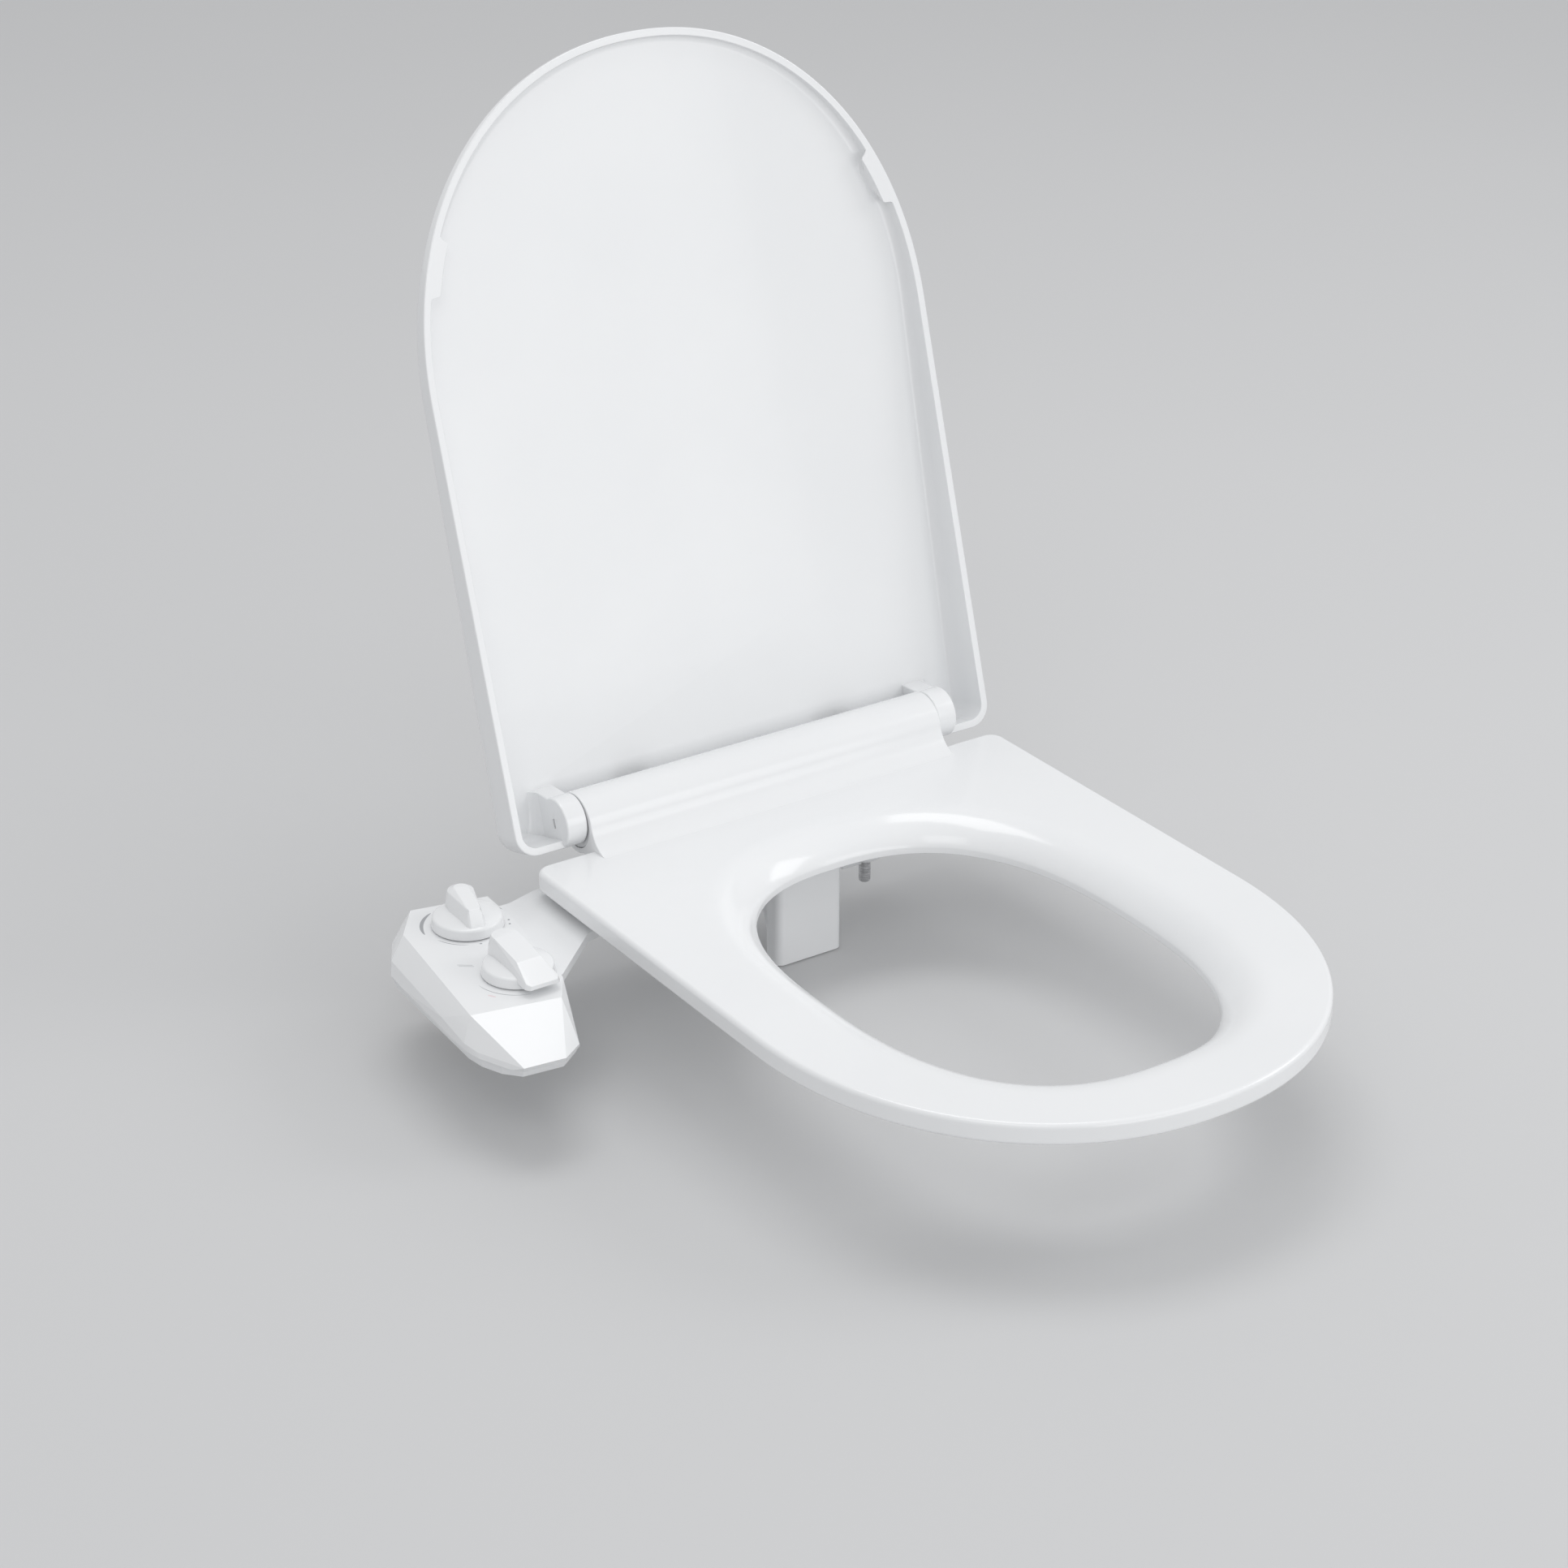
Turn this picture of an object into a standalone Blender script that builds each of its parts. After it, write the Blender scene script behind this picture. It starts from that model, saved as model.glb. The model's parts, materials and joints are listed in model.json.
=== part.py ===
"""Water-driven bidet seat: a slim lid and seat ring on a soft-close hinge, with a bidet plate under
them that carries a two-knob control panel at the side and two nozzles behind a guard gate.

Metres, +Z up, +X to the right as seen from the front, -Y towards the front of the bowl. The origin is
midway between the two mounting bolts, on the plane of the bowl's deck. The lid stands open.
"""

import math

import bmesh
import bpy
from mathutils import Matrix, Vector

MM = 0.001

# Fits between pieces
GAP = 0.3 * MM  # between pieces that touch
RUNNING = 0.3 * MM  # around a shaft that turns
MOVING = 1.2 * MM  # between a moving piece and its neighbours

# Hinge
BOLT_SPREAD = 155 * MM
HINGE_BACK = 15.5 * MM  # hinge axis behind the bolts
HINGE_HEIGHT = 36 * MM  # hinge axis above the deck
BARREL_RADIUS = 20 * MM
BARREL_WALL = 3.5 * MM
BARREL_LENGTH = 269 * MM
BARREL_FILLET = 20 * MM  # hollow curve from the barrel down to the seat
CENTRE_WEB = 28 * MM  # solid middle of the barrel
LUG_RADIUS = 16.5 * MM
LUG_LENGTH = 14.5 * MM
LUG_OFFSET = (-3.3 * MM, -1.1 * MM)  # a lug's centre from the hinge axis, with the lid shut
SHAFT_RADIUS = 5 * MM
DAMPER_RADIUS = 12.5 * MM
SEAT_DAMPER_LENGTH = 36 * MM
POST_WIDTH = 19 * MM
POST_NECK = 12 * MM
POST_HEAD_RADIUS = 15.2 * MM
FOOT = (36 * MM, 42 * MM, 4.2 * MM)
LID_OPEN = math.radians(107.6)

# Seat ring
SEAT_WIDTH = 360 * MM
SEAT_TAPER = 4 * MM  # the back edge is this much narrower
SEAT_LENGTH = 472.5 * MM  # hinge axis to the front tip
SEAT_FRONT = 200 * MM  # length of the round front
FRONT_POWER = 2.12  # superellipse power of the round front
SEAT_REAR = 20.5 * MM  # hinge axis to the back edge beside the barrel
SEAT_CORNER = 10 * MM
SEAT_TOP = 25.4 * MM
SEAT_UNDERSIDE = 12 * MM
SEAT_LIP = 4 * MM  # lowest edge of the inner lip
HOLE_WIDTH = 221 * MM
HOLE_REAR = 92.5 * MM  # hinge axis to the hole's back edge
HOLE_POWER = 2.56
FRONT_RIM = 65 * MM  # seat width in front of the hole
HOLE_LENGTH = SEAT_LENGTH - FRONT_RIM - HOLE_REAR
LIP_SLOPE = 28 * MM  # width of the slope from the top down to the hole
BUMPER_RADIUS = 11 * MM
BUMPERS = ((0.72, 0.26), (0.655, 0.80))  # (share of the half width, share of the length)

# Lid
LID_OVERHANG = 3.8 * MM
LID_TIP_OVERHANG = 1.5 * MM
LID_REAR = 14 * MM  # back edge behind the hinge axis
LID_CORNER = 14 * MM
LID_RIM_WIDTH = 5.8 * MM
LID_RIM_GAP = 2.5 * MM  # between the closed lid's rim and the seat
LID_SKIN = 3.0 * MM
LID_TIP_RECESS = 3.0 * MM

# Bidet plate
PLATE_THICKNESS = 6 * MM
PLATE_EDGE = 12.8 * MM  # plate left beside a disc
PLATE_BACK = 22 * MM
PLATE_FRONT = -50 * MM
TONGUE_HALF_WIDTH = 34 * MM
TONGUE_FRONT = -62 * MM
ARM_REAR = (1 * MM, -5 * MM)  # the arm's back edge at the seat's side and at the panel
ARM_FRONT = (-66 * MM, -101 * MM)
ARM_TAB = 9 * MM  # how far the arm reaches into the panel
DISC_RADIUS = 21.7 * MM
PLATE_HALF_WIDTH = BOLT_SPREAD / 2 + DISC_RADIUS + PLATE_EDGE
SLOT_WIDTH = 8.8 * MM
SLOT_LENGTH = 30 * MM

# Mounting hardware
BOLT_RADIUS = 4 * MM
BOLT_HEAD_RADIUS = 8 * MM
BOLT_HEAD_HEIGHT = 3 * MM
BOLT_LENGTH = 70 * MM
DECK_THICKNESS = 25 * MM  # bowl deck that the bolts clamp
WASHER_RADIUS = 14 * MM
WASHER_HEIGHT = 3 * MM
NUT_RADIUS = 10 * MM
NUT_HEIGHT = 13 * MM
NUT_WING = 19 * MM  # reach of a wing from the bolt's axis

# Control panel
PANEL_GAP = 24 * MM  # between the seat's side and the panel
PANEL_TOP = 8 * MM
PANEL_SHOULDER = -5 * MM
PANEL_SPLIT = -14 * MM
PANEL_BOTTOM = -21 * MM
PANEL_WALL = 2.2 * MM
TRIM = 3 * MM  # a shell's walls are made this much longer, then cut level at the split
KNOB_RADIUS = 22.5 * MM
PRESSURE_KNOB = (29 * MM, -19 * MM)  # (outward from the panel's inner edge, along Y)
SELECTOR_KNOB = (34 * MM, -88 * MM)
# a handle's reach in front and behind, width, front slope, height at the back, at the brow and at the
# tip, then its ridge's share of the width at the back and at the brow, and the handle's turn at rest
HANDLES = {
    "pressure": ((20 * MM, 22 * MM, 20 * MM, 6 * MM, 20.5 * MM, 17 * MM, 6 * MM, 0.45, 0.5), math.radians(-20)),
    "selector": ((31 * MM, 26 * MM, 20 * MM, 19 * MM, 19 * MM, 14.5 * MM, 7.4 * MM, 0.8, 0.66), 0.0),
}
VALVE_RADIUS = 10.5 * MM
VALVE_HEIGHT = 18 * MM
STEM_RADIUS = 3.8 * MM
STEM_SQUARE = 5 * MM
INLET = (38 * MM, 4 * MM)
INLET_RADIUS = 7.5 * MM
INLET_REACH = 15 * MM

# Nozzles
NOZZLE_TILT = math.radians(72)  # below the horizontal
NOZZLE_RADIUS = 4.5 * MM
NOZZLE_SPACING = 19 * MM
NOZZLE_FOOT = (-38.5 * MM, -70 * MM)  # where the nozzles' line passes the gate's lower edge
NOZZLE_TRAVEL = 32 * MM
GATE_WIDTH = 50 * MM
GATE_FACE = -50 * MM
GATE_DEPTH = 13 * MM
GATE_BOTTOM = -71 * MM
GATE_WALL = 2 * MM
GATE_AXIS = (-44 * MM, -6.5 * MM)
GATE_EAR = (2.8 * MM, 3.5 * MM)  # the housing's ears, in front of and behind the gate's pin
GATE_FACE_TOP = -2 * MM  # top of the gate's face from its pin, low enough to swing past the ears
GATE_SIDE_TOP = 2.2 * MM
GATE_PIN_RADIUS = 1.5 * MM
TUBE_RADIUS = 1.9 * MM
TUBE_PITCH = 6 * MM
CHANNEL_HEIGHT = 4.5 * MM

WHITE = (0.86, 0.87, 0.88)
COLOURS = {
    "white_plastic": (WHITE, 0.18, 0.0),
    "soft_white_plastic": ((0.80, 0.81, 0.82), 0.42, 0.0),
    "grey_plastic": ((0.42, 0.43, 0.45), 0.5, 0.0),
    "rubber": ((0.66, 0.67, 0.68), 0.8, 0.0),
    "steel": ((0.68, 0.68, 0.69), 0.3, 1.0),
    "brass": ((0.80, 0.62, 0.32), 0.3, 1.0),
    "clear_tube": ((0.75, 0.80, 0.84), 0.25, 0.0),
}


# ---------------------------------------------------------------- scene helpers
def clear_scene():
    for obj in list(bpy.data.objects):
        bpy.data.objects.remove(obj, do_unlink=True)


def collection(name):
    made = bpy.data.collections.new(name)
    bpy.context.scene.collection.children.link(made)
    return made


def material(name):
    made = bpy.data.materials.get(name)
    if made:
        return made
    colour, roughness, metallic = COLOURS[name]
    made = bpy.data.materials.new(name)
    made.use_nodes = True
    shader = made.node_tree.nodes["Principled BSDF"]
    shader.inputs["Base Color"].default_value = (*colour, 1)
    shader.inputs["Roughness"].default_value = roughness
    shader.inputs["Metallic"].default_value = metallic
    return made


def axis_empty(name, place, turn=0.0):
    empty = bpy.data.objects.new(name, None)
    empty.location = place
    empty.rotation_euler.x = turn
    empty.empty_display_size = 0.03
    parts.objects.link(empty)
    return empty


def add(name, bm, finish, axis=None):
    """Makes an object of a bmesh in world coordinates, or in those of the axis empty that carries it."""
    bmesh.ops.recalc_face_normals(bm, faces=bm.faces)
    mesh = bpy.data.meshes.new(name)
    bm.to_mesh(mesh)
    bm.free()
    mesh.shade_smooth()
    mesh.set_sharp_from_angle(angle=math.radians(35))
    obj = bpy.data.objects.new(name, mesh)
    if finish is None:
        cutters.objects.link(obj)
        obj.hide_render = True
        obj.display_type = "WIRE"
    else:
        mesh.materials.append(material(finish))
        parts.objects.link(obj)
    obj.parent = axis
    return obj


def tool(bm, axis=None):
    return add("cutter", bm, None, axis)


def boolean(target, other, operation="DIFFERENCE"):
    modifier = target.modifiers.new(operation.title(), "BOOLEAN")
    modifier.operation = operation
    modifier.solver = "EXACT"
    modifier.object = other
    return target


def cut(target, *others):
    for other in others:
        boolean(target, other)
    return target


def join(target, *others):
    for other in others:
        boolean(target, other, "UNION")
    return target


# ---------------------------------------------------------------- shapes
def block(low, high):
    bm = bmesh.new()
    bmesh.ops.create_cube(bm, size=1)
    low, high = Vector(low), Vector(high)
    bmesh.ops.scale(bm, verts=bm.verts, vec=high - low)
    bmesh.ops.translate(bm, verts=bm.verts, vec=(low + high) / 2)
    return bm


def rod(start, end, radius, end_radius=None, sides=32):
    """A cylinder or cone between two points."""
    start, end = Vector(start), Vector(end)
    bm = bmesh.new()
    bmesh.ops.create_cone(
        bm,
        cap_ends=True,
        segments=sides,
        radius1=radius,
        radius2=radius if end_radius is None else end_radius,
        depth=(end - start).length,
    )
    turn = Vector((0, 0, 1)).rotation_difference(end - start).to_matrix().to_4x4()
    bmesh.ops.transform(bm, verts=bm.verts, matrix=Matrix.Translation((start + end) / 2) @ turn)
    return bm


def prism(outline, low, high, along="Z"):
    """A flat outline extruded along Z, or along X when its points are (y, z)."""
    bm = bmesh.new()
    place = (lambda a, b, c: (a, b, c)) if along == "Z" else (lambda a, b, c: (c, a, b))
    face = bm.faces.new([bm.verts.new(place(a, b, low)) for a, b in outline])
    out = bmesh.ops.extrude_face_region(bm, geom=[face])
    moved = [v for v in out["geom"] if isinstance(v, bmesh.types.BMVert)]
    bmesh.ops.translate(bm, verts=moved, vec=place(0, 0, high - low))
    return bm


def hull(points):
    bm = bmesh.new()
    for point in points:
        bm.verts.new(point)
    out = bmesh.ops.convex_hull(bm, input=bm.verts)
    unused = [v for v in out["geom_interior"] if isinstance(v, bmesh.types.BMVert)]
    bmesh.ops.delete(bm, geom=unused, context="VERTS")
    bmesh.ops.dissolve_limit(bm, angle_limit=math.radians(0.5), verts=bm.verts, edges=bm.edges)
    return bm


def loft(loops, ring=False):
    """Skins equal loops of points in order: a closed ring of them, or a body capped at both ends."""
    bm = bmesh.new()
    rows = [[bm.verts.new(point) for point in loop] for loop in loops]
    pairs = list(zip(rows, rows[1:])) + ([(rows[-1], rows[0])] if ring else [])
    for near, far in pairs:
        for i in range(len(near)):
            j = (i + 1) % len(near)
            bm.faces.new((near[i], near[j], far[j], far[i]))
    if not ring:
        bm.faces.new(rows[0])
        bm.faces.new(rows[-1])
    return bm


def ring_of(inner, outer, start, end):
    """The profile of a plain ring about Z, for a lathe: (radius, height) points."""
    return [(inner, end), (outer, end), (outer, start), (inner, start), (inner, end)]


def lathe(name, profile, finish, place, axis_along="Z", empty=None, sides=32):
    """A profile of (radius, height) points, down the outer side, turned about Z or laid along X."""
    mesh = bpy.data.meshes.new(name)
    edges = [(i, i + 1) for i in range(len(profile) - 1)]
    mesh.from_pydata([(r, 0, h) for r, h in profile], edges, [])
    obj = bpy.data.objects.new(name, mesh)
    screw = obj.modifiers.new("Screw", "SCREW")
    screw.steps = screw.render_steps = sides
    screw.use_merge_vertices = True
    screw.merge_threshold = 1e-6
    screw.use_smooth_shade = True
    weld = obj.modifiers.new("Weld", "WELD")
    weld.merge_threshold = 1e-6
    obj.location = place
    if axis_along == "X":
        obj.rotation_euler.y = math.pi / 2
    mesh.materials.append(material(finish))
    parts.objects.link(obj)
    obj.parent = empty
    return obj


# ---------------------------------------------------------------- outlines
def d_outline(width, rear_width, rear, tip, corner, grow):
    """A seat's outline as (x, forward) points, forward counted from the hinge axis: a straight back
    edge, round back corners, long sides and a superellipse front."""
    half, rear_half = width / 2 + grow, rear_width / 2 + grow
    back = rear - grow
    start = tip - SEAT_FRONT
    radius = max(corner + grow, 0.5 * MM)
    right = [(rear_half * i / 12, back) for i in range(12) if rear_half * i / 12 < rear_half - radius]
    for i in range(6):
        turn = math.radians(18 * i)
        across, along = radius * math.sin(turn), radius * math.cos(turn)
        right.append((rear_half - radius + across, back + radius - along))
    for i in range(1, 9):
        share = i / 9
        forward = back + radius + (start - back - radius) * share
        right.append((rear_half + (half - rear_half) * share, forward))
    for i in range(29):
        turn = math.pi / 2 * i / 28
        x = half * max(math.cos(turn), 0) ** (2 / FRONT_POWER)
        right.append((x, start + (SEAT_FRONT + grow) * math.sin(turn) ** (2 / FRONT_POWER)))
    right[-1] = (0, tip + grow)
    return right + [(-x, forward) for x, forward in right[-2:0:-1]]


def seat_outline(grow=0.0):
    return d_outline(SEAT_WIDTH, SEAT_WIDTH - SEAT_TAPER, SEAT_REAR, SEAT_LENGTH, SEAT_CORNER, grow)


def hole_point(x, forward, grow):
    """The hole's edge in the direction of a point of the seat's outline."""
    centre = SEAT_LENGTH - FRONT_RIM - HOLE_LENGTH / 2
    turn = math.atan2(forward - centre, x)
    a, b = HOLE_WIDTH / 2 + grow, HOLE_LENGTH / 2 + grow
    share = abs(math.cos(turn) / a) ** HOLE_POWER + abs(math.sin(turn) / b) ** HOLE_POWER
    reach = share ** (-1 / HOLE_POWER)
    return reach * math.cos(turn), centre + reach * math.sin(turn)


def seat_loop(points, height):
    return [(x, -forward, height - HINGE_HEIGHT) for x, forward in points]


# ---------------------------------------------------------------- seat
def barrel_profile():
    """(y, z) about the hinge axis: round behind, with a hollow curve down to the seat in front."""
    top = SEAT_TOP - 0.4 * MM - HINGE_HEIGHT
    rise = top + BARREL_FILLET
    reach = math.sqrt((BARREL_RADIUS + BARREL_FILLET) ** 2 - rise**2)
    tangent = math.atan2(rise, -reach)
    points = [(-reach - 8 * MM, SEAT_UNDERSIDE + 1 * MM - HINGE_HEIGHT), (-reach - 8 * MM, top)]
    foot = math.radians(-90)
    head = tangent - math.pi
    for i in range(9):
        turn = foot + (head - foot) * i / 8
        points.append((-reach + BARREL_FILLET * math.cos(turn), rise + BARREL_FILLET * math.sin(turn)))
    end = math.radians(-120)
    for i in range(1, 25):
        turn = tangent + (end - tangent) * i / 24
        points.append((BARREL_RADIUS * math.cos(turn), BARREL_RADIUS * math.sin(turn)))
    points.append((-SEAT_REAR, SEAT_UNDERSIDE + 1 * MM - HINGE_HEIGHT))
    return points


def barrel_bore():
    return BARREL_RADIUS - BARREL_WALL


def post_slot(side):
    """The wedge of barrel wall that is open for a hinge post, through the seat's whole swing."""
    middle = side * BOLT_SPREAD / 2
    half = POST_WIDTH / 2 + 2 * MM
    reach = 2 * BARREL_RADIUS
    first, last = math.radians(-134), math.radians(48)
    outline = [(0, 0)]
    for i in range(7):
        turn = first + (last - first) * i / 6
        outline.append((reach * math.cos(turn), reach * math.sin(turn)))
    return prism(outline, middle - half, middle + half, "X")


def make_seat():
    outline = seat_outline()
    rise = SEAT_TOP - SEAT_LIP - 4 * MM
    loops = []
    for grow, height in ((0, 0), (0, 4 * MM)):
        loops.append(seat_loop([hole_point(*p, grow) for p in outline], SEAT_LIP + height))
    for i in range(1, 7):
        share = i / 6
        height = SEAT_LIP + 4 * MM + rise * math.sin(math.pi / 2 * share) ** 1.1
        loops.append(seat_loop([hole_point(*p, LIP_SLOPE * share**1.5) for p in outline], height))
    thickness = SEAT_TOP - SEAT_UNDERSIDE
    for grow, share in ((-3, 1.0), (-0.9, 0.93), (0, 0.77), (0, 0.2), (-0.8, 0.05), (-2.5, 0)):
        loops.append(seat_loop(seat_outline(grow * MM), SEAT_UNDERSIDE + share * thickness))
    for grow, height in ((14 * MM, SEAT_UNDERSIDE), (4 * MM, SEAT_LIP + 1 * MM), (2 * MM, SEAT_LIP)):
        loops.append(seat_loop([hole_point(*p, grow) for p in outline], height))
    seat = add("seat_ring", loft(loops, ring=True), "white_plastic", seat_axis)
    half = BARREL_LENGTH / 2
    join(seat, tool(prism(barrel_profile(), -half, half, "X"), seat_axis))
    for side in (-1, 1):
        inner, outer = side * CENTRE_WEB / 2, side * (half + 5 * MM)
        cut(seat, tool(rod((inner, 0, 0), (outer, 0, 0), barrel_bore(), sides=40), seat_axis))
        cut(seat, tool(post_slot(side), seat_axis))
    socket = SHAFT_RADIUS + RUNNING
    cut(seat, tool(rod((CENTRE_WEB / 2 - 10 * MM, 0, 0), (CENTRE_WEB, 0, 0), socket, sides=24), seat_axis))
    return seat


def bumper_places():
    for across, along in BUMPERS:
        for side in (-1, 1):
            yield side * across * SEAT_WIDTH / 2, -along * SEAT_LENGTH


def make_bumpers():
    names = iter(("rear_bumper_left", "rear_bumper_right", "front_bumper_left", "front_bumper_right"))
    height = SEAT_UNDERSIDE - GAP
    r = BUMPER_RADIUS
    profile = [(0, height), (0.82 * r, height), (r, height - 2 * MM), (r, 1.5 * MM), (0.88 * r, 0), (0, 0)]
    for x, y in bumper_places():
        lathe(next(names), profile, "rubber", (x, y, -HINGE_HEIGHT), empty=seat_axis, sides=28)


# ---------------------------------------------------------------- lid
def lid_rim():
    return SEAT_TOP + LID_RIM_GAP - HINGE_HEIGHT


def lid_inside(forward):
    """Height of the lid's inner face over the hinge axis: it slopes from over the barrel to the tip."""
    hinge = BARREL_RADIUS + MOVING
    tip = lid_rim() + LID_TIP_RECESS
    return hinge + (tip - hinge) * forward / (SEAT_LENGTH + LID_TIP_OVERHANG)


def lid_loop(grow, share, skin):
    """One loop of the lid: share 0 is at the rim, 1 at the inner face or, with a skin, at the top."""
    points = d_outline(
        SEAT_WIDTH + 2 * LID_OVERHANG,
        SEAT_WIDTH - SEAT_TAPER + 2 * LID_OVERHANG,
        -LID_REAR,
        SEAT_LENGTH + LID_TIP_OVERHANG,
        LID_CORNER,
        grow,
    )
    rim = lid_rim()
    return [(x, -f, rim + share * (lid_inside(f) + skin - rim)) for x, f in points]


def make_lid():
    rim = LID_RIM_WIDTH
    inside = ((-rim - 5 * MM, 1.0), (-rim - 1.5 * MM, 0.88), (-rim - 0.3 * MM, 0.5), (-rim, 0.0))
    outside = ((0, 0.06), (0, 0.4), (-1.2 * MM, 0.78), (-4.5 * MM, 0.97), (-11 * MM, 1.0))
    loops = [lid_loop(grow, share, 0) for grow, share in inside]
    loops.append(lid_loop(-0.6 * MM, 0, 0))
    loops += [lid_loop(grow, share, LID_SKIN) for grow, share in outside]
    lid = add("lid_cover", loft(loops), "white_plastic", lid_axis)
    half = BARREL_LENGTH / 2 + MOVING
    clear = BARREL_RADIUS + MOVING / 2
    wide = half + GAP
    cut(lid, tool(block((-wide, -2 * MM, -60 * MM), (wide, 60 * MM, clear)), lid_axis))
    for side in (-1, 1):
        near, far = side * half, side * (half + LUG_LENGTH)
        low, high = min(near, far), max(near, far)
        web = block((low + GAP, -LUG_RADIUS, 0), (high - GAP, LID_REAR - 1 * MM, lid_inside(0) + 1 * MM))
        boss = rod((near, *LUG_OFFSET), (far, *LUG_OFFSET), LUG_RADIUS, sides=40)
        join(lid, tool(boss, lid_axis), tool(web, lid_axis))
        start, end = half - 5 * MM, half + LUG_LENGTH - 2.5 * MM
        bore = rod((side * start, 0, 0), (side * end, 0, 0), SHAFT_RADIUS + GAP)
        cut(lid, tool(bore, lid_axis))
    return lid


# ---------------------------------------------------------------- hinge hardware
def make_shaft(name, start, end, finish, axis):
    """A damper's shaft, flattened on one side where it drives its piece."""
    shaft = add(name, rod((start, 0, 0), (end, 0, 0), SHAFT_RADIUS, sides=24), finish, axis)
    flat = SHAFT_RADIUS * 0.8
    past = end + math.copysign(2 * MM, end - start)
    low, high = sorted(((start + end) / 2, past))
    reach = 2 * SHAFT_RADIUS
    return cut(shaft, tool(block((low, -reach, flat), (high, reach, flat + reach)), axis))


def damper_body(name, start, end, finish):
    """A damper's housing, fixed beside its post, with the bore that its shaft turns in."""
    y, z = HINGE_BACK, HINGE_HEIGHT
    side = 1 if end > start else -1
    body = add(name, rod((start, y, z), (end, y, z), DAMPER_RADIUS, sides=40), finish)
    depth = min(20 * MM, abs(end - start) - 6 * MM)
    bore = rod((end - side * depth, y, z), (end + side * 5 * MM, y, z), SHAFT_RADIUS + RUNNING, sides=24)
    return cut(body, tool(bore))


def make_hinges():
    half = BARREL_LENGTH / 2
    sleeve_end = half - 1 * MM
    for side, word in ((-1, "left"), (1, "right")):
        middle = side * BOLT_SPREAD / 2
        inner, outer = middle - side * POST_WIDTH / 2, middle + side * POST_WIDTH / 2
        low, high = min(inner, outer), max(inner, outer)
        base = PLATE_THICKNESS + GAP
        y0 = -FOOT[1] / 2 + 3 * MM
        foot = block((middle - FOOT[0] / 2, y0, base), (middle + FOOT[0] / 2, y0 + FOOT[1], base + FOOT[2]))
        post = add(f"hinge_post_{word}", foot, "soft_white_plastic")
        neck = block(
            (low, HINGE_BACK - POST_NECK / 2, base + 1 * MM), (high, HINGE_BACK + POST_NECK / 2, HINGE_HEIGHT)
        )
        axis = (HINGE_BACK, HINGE_HEIGHT)
        head = rod((low, *axis), (high, *axis), POST_HEAD_RADIUS, sides=40)
        join(post, tool(neck), tool(head))
        well = base + FOOT[2] - BOLT_HEAD_HEIGHT - GAP
        cut(post, tool(rod((middle, 0, well), (middle, 0, well + 30 * MM), BOLT_HEAD_RADIUS + GAP)))
        cut(post, tool(rod((middle, 0, 0), (middle, 0, 20 * MM), BOLT_RADIUS + GAP, sides=24)))
        body = "lid_damper_body" if side < 0 else "hinge_sleeve_right"
        damper_body(body, outer + side * GAP, side * sleeve_end, "grey_plastic")
        start = sleeve_end - 18 * MM
        end = half + MOVING + LUG_LENGTH - 4 * MM
        shaft = "lid_damper_shaft" if side < 0 else "lid_pivot_pin"
        make_shaft(shaft, side * start, side * end, "steel", lid_axis)
        width = 9 * MM
        profile = ring_of(DAMPER_RADIUS + RUNNING, barrel_bore() - GAP, -width / 2, width / 2)
        bush = (side * (half - 0.5 * MM - width / 2), 0, 0)
        lathe(f"barrel_bush_{word}", profile, "soft_white_plastic", bush, "X", seat_axis, 40)
    inner = BOLT_SPREAD / 2 - POST_WIDTH / 2 - GAP
    damper_body("seat_damper_body", inner, inner - SEAT_DAMPER_LENGTH, "grey_plastic")
    reach = inner - SEAT_DAMPER_LENGTH
    make_shaft("seat_damper_shaft", reach + 18 * MM, CENTRE_WEB / 2 - 9 * MM, "steel", seat_axis)


# ---------------------------------------------------------------- mounting hardware
def make_mounting():
    for side, word in ((-1, "left"), (1, "right")):
        x = side * BOLT_SPREAD / 2
        disc = add(
            f"slotted_disc_{word}",
            rod((x, 0, 0), (x, 0, PLATE_THICKNESS - GAP / 2), DISC_RADIUS, sides=48),
            "soft_white_plastic",
        )
        half = (SLOT_LENGTH - SLOT_WIDTH) / 2
        cut(disc, tool(block((x - SLOT_WIDTH / 2, -half, -5 * MM), (x + SLOT_WIDTH / 2, half, 20 * MM))))
        for end in (-half, half):
            cut(disc, tool(rod((x, end, -5 * MM), (x, end, 20 * MM), SLOT_WIDTH / 2 - 0.01 * MM, sides=24)))
        seat_z = PLATE_THICKNESS + GAP + FOOT[2] - BOLT_HEAD_HEIGHT
        top = seat_z + BOLT_HEAD_HEIGHT
        r, head = BOLT_RADIUS, BOLT_HEAD_RADIUS
        tip = top - BOLT_LENGTH
        profile = [(0, top), (head - 1 * MM, top), (head, seat_z + 1 * MM), (head, seat_z), (r, seat_z)]
        profile += [(r, tip + 1 * MM), (r - 1 * MM, tip), (0, tip)]
        lathe(f"mounting_bolt_{word}", profile, "steel", (x, 0, 0), sides=32)
        top = -DECK_THICKNESS
        profile = ring_of(BOLT_RADIUS + GAP, WASHER_RADIUS, top - WASHER_HEIGHT, top)
        lathe(f"rubber_washer_{word}", profile, "rubber", (x, 0, 0), sides=36)
        top -= WASHER_HEIGHT + GAP
        low = top - NUT_HEIGHT
        cone = rod((x, 0, top), (x, 0, low), WASHER_RADIUS - 2 * MM, NUT_RADIUS, 32)
        nut = add(f"wing_nut_{word}", cone, "soft_white_plastic")
        wing = block((x - NUT_WING, -2 * MM, low - 4 * MM), (x + NUT_WING, 2 * MM, top - 3 * MM))
        join(nut, tool(wing))
        cut(nut, tool(rod((x, 0, top + 5 * MM), (x, 0, low - 10 * MM), BOLT_RADIUS + GAP, sides=24)))


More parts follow.
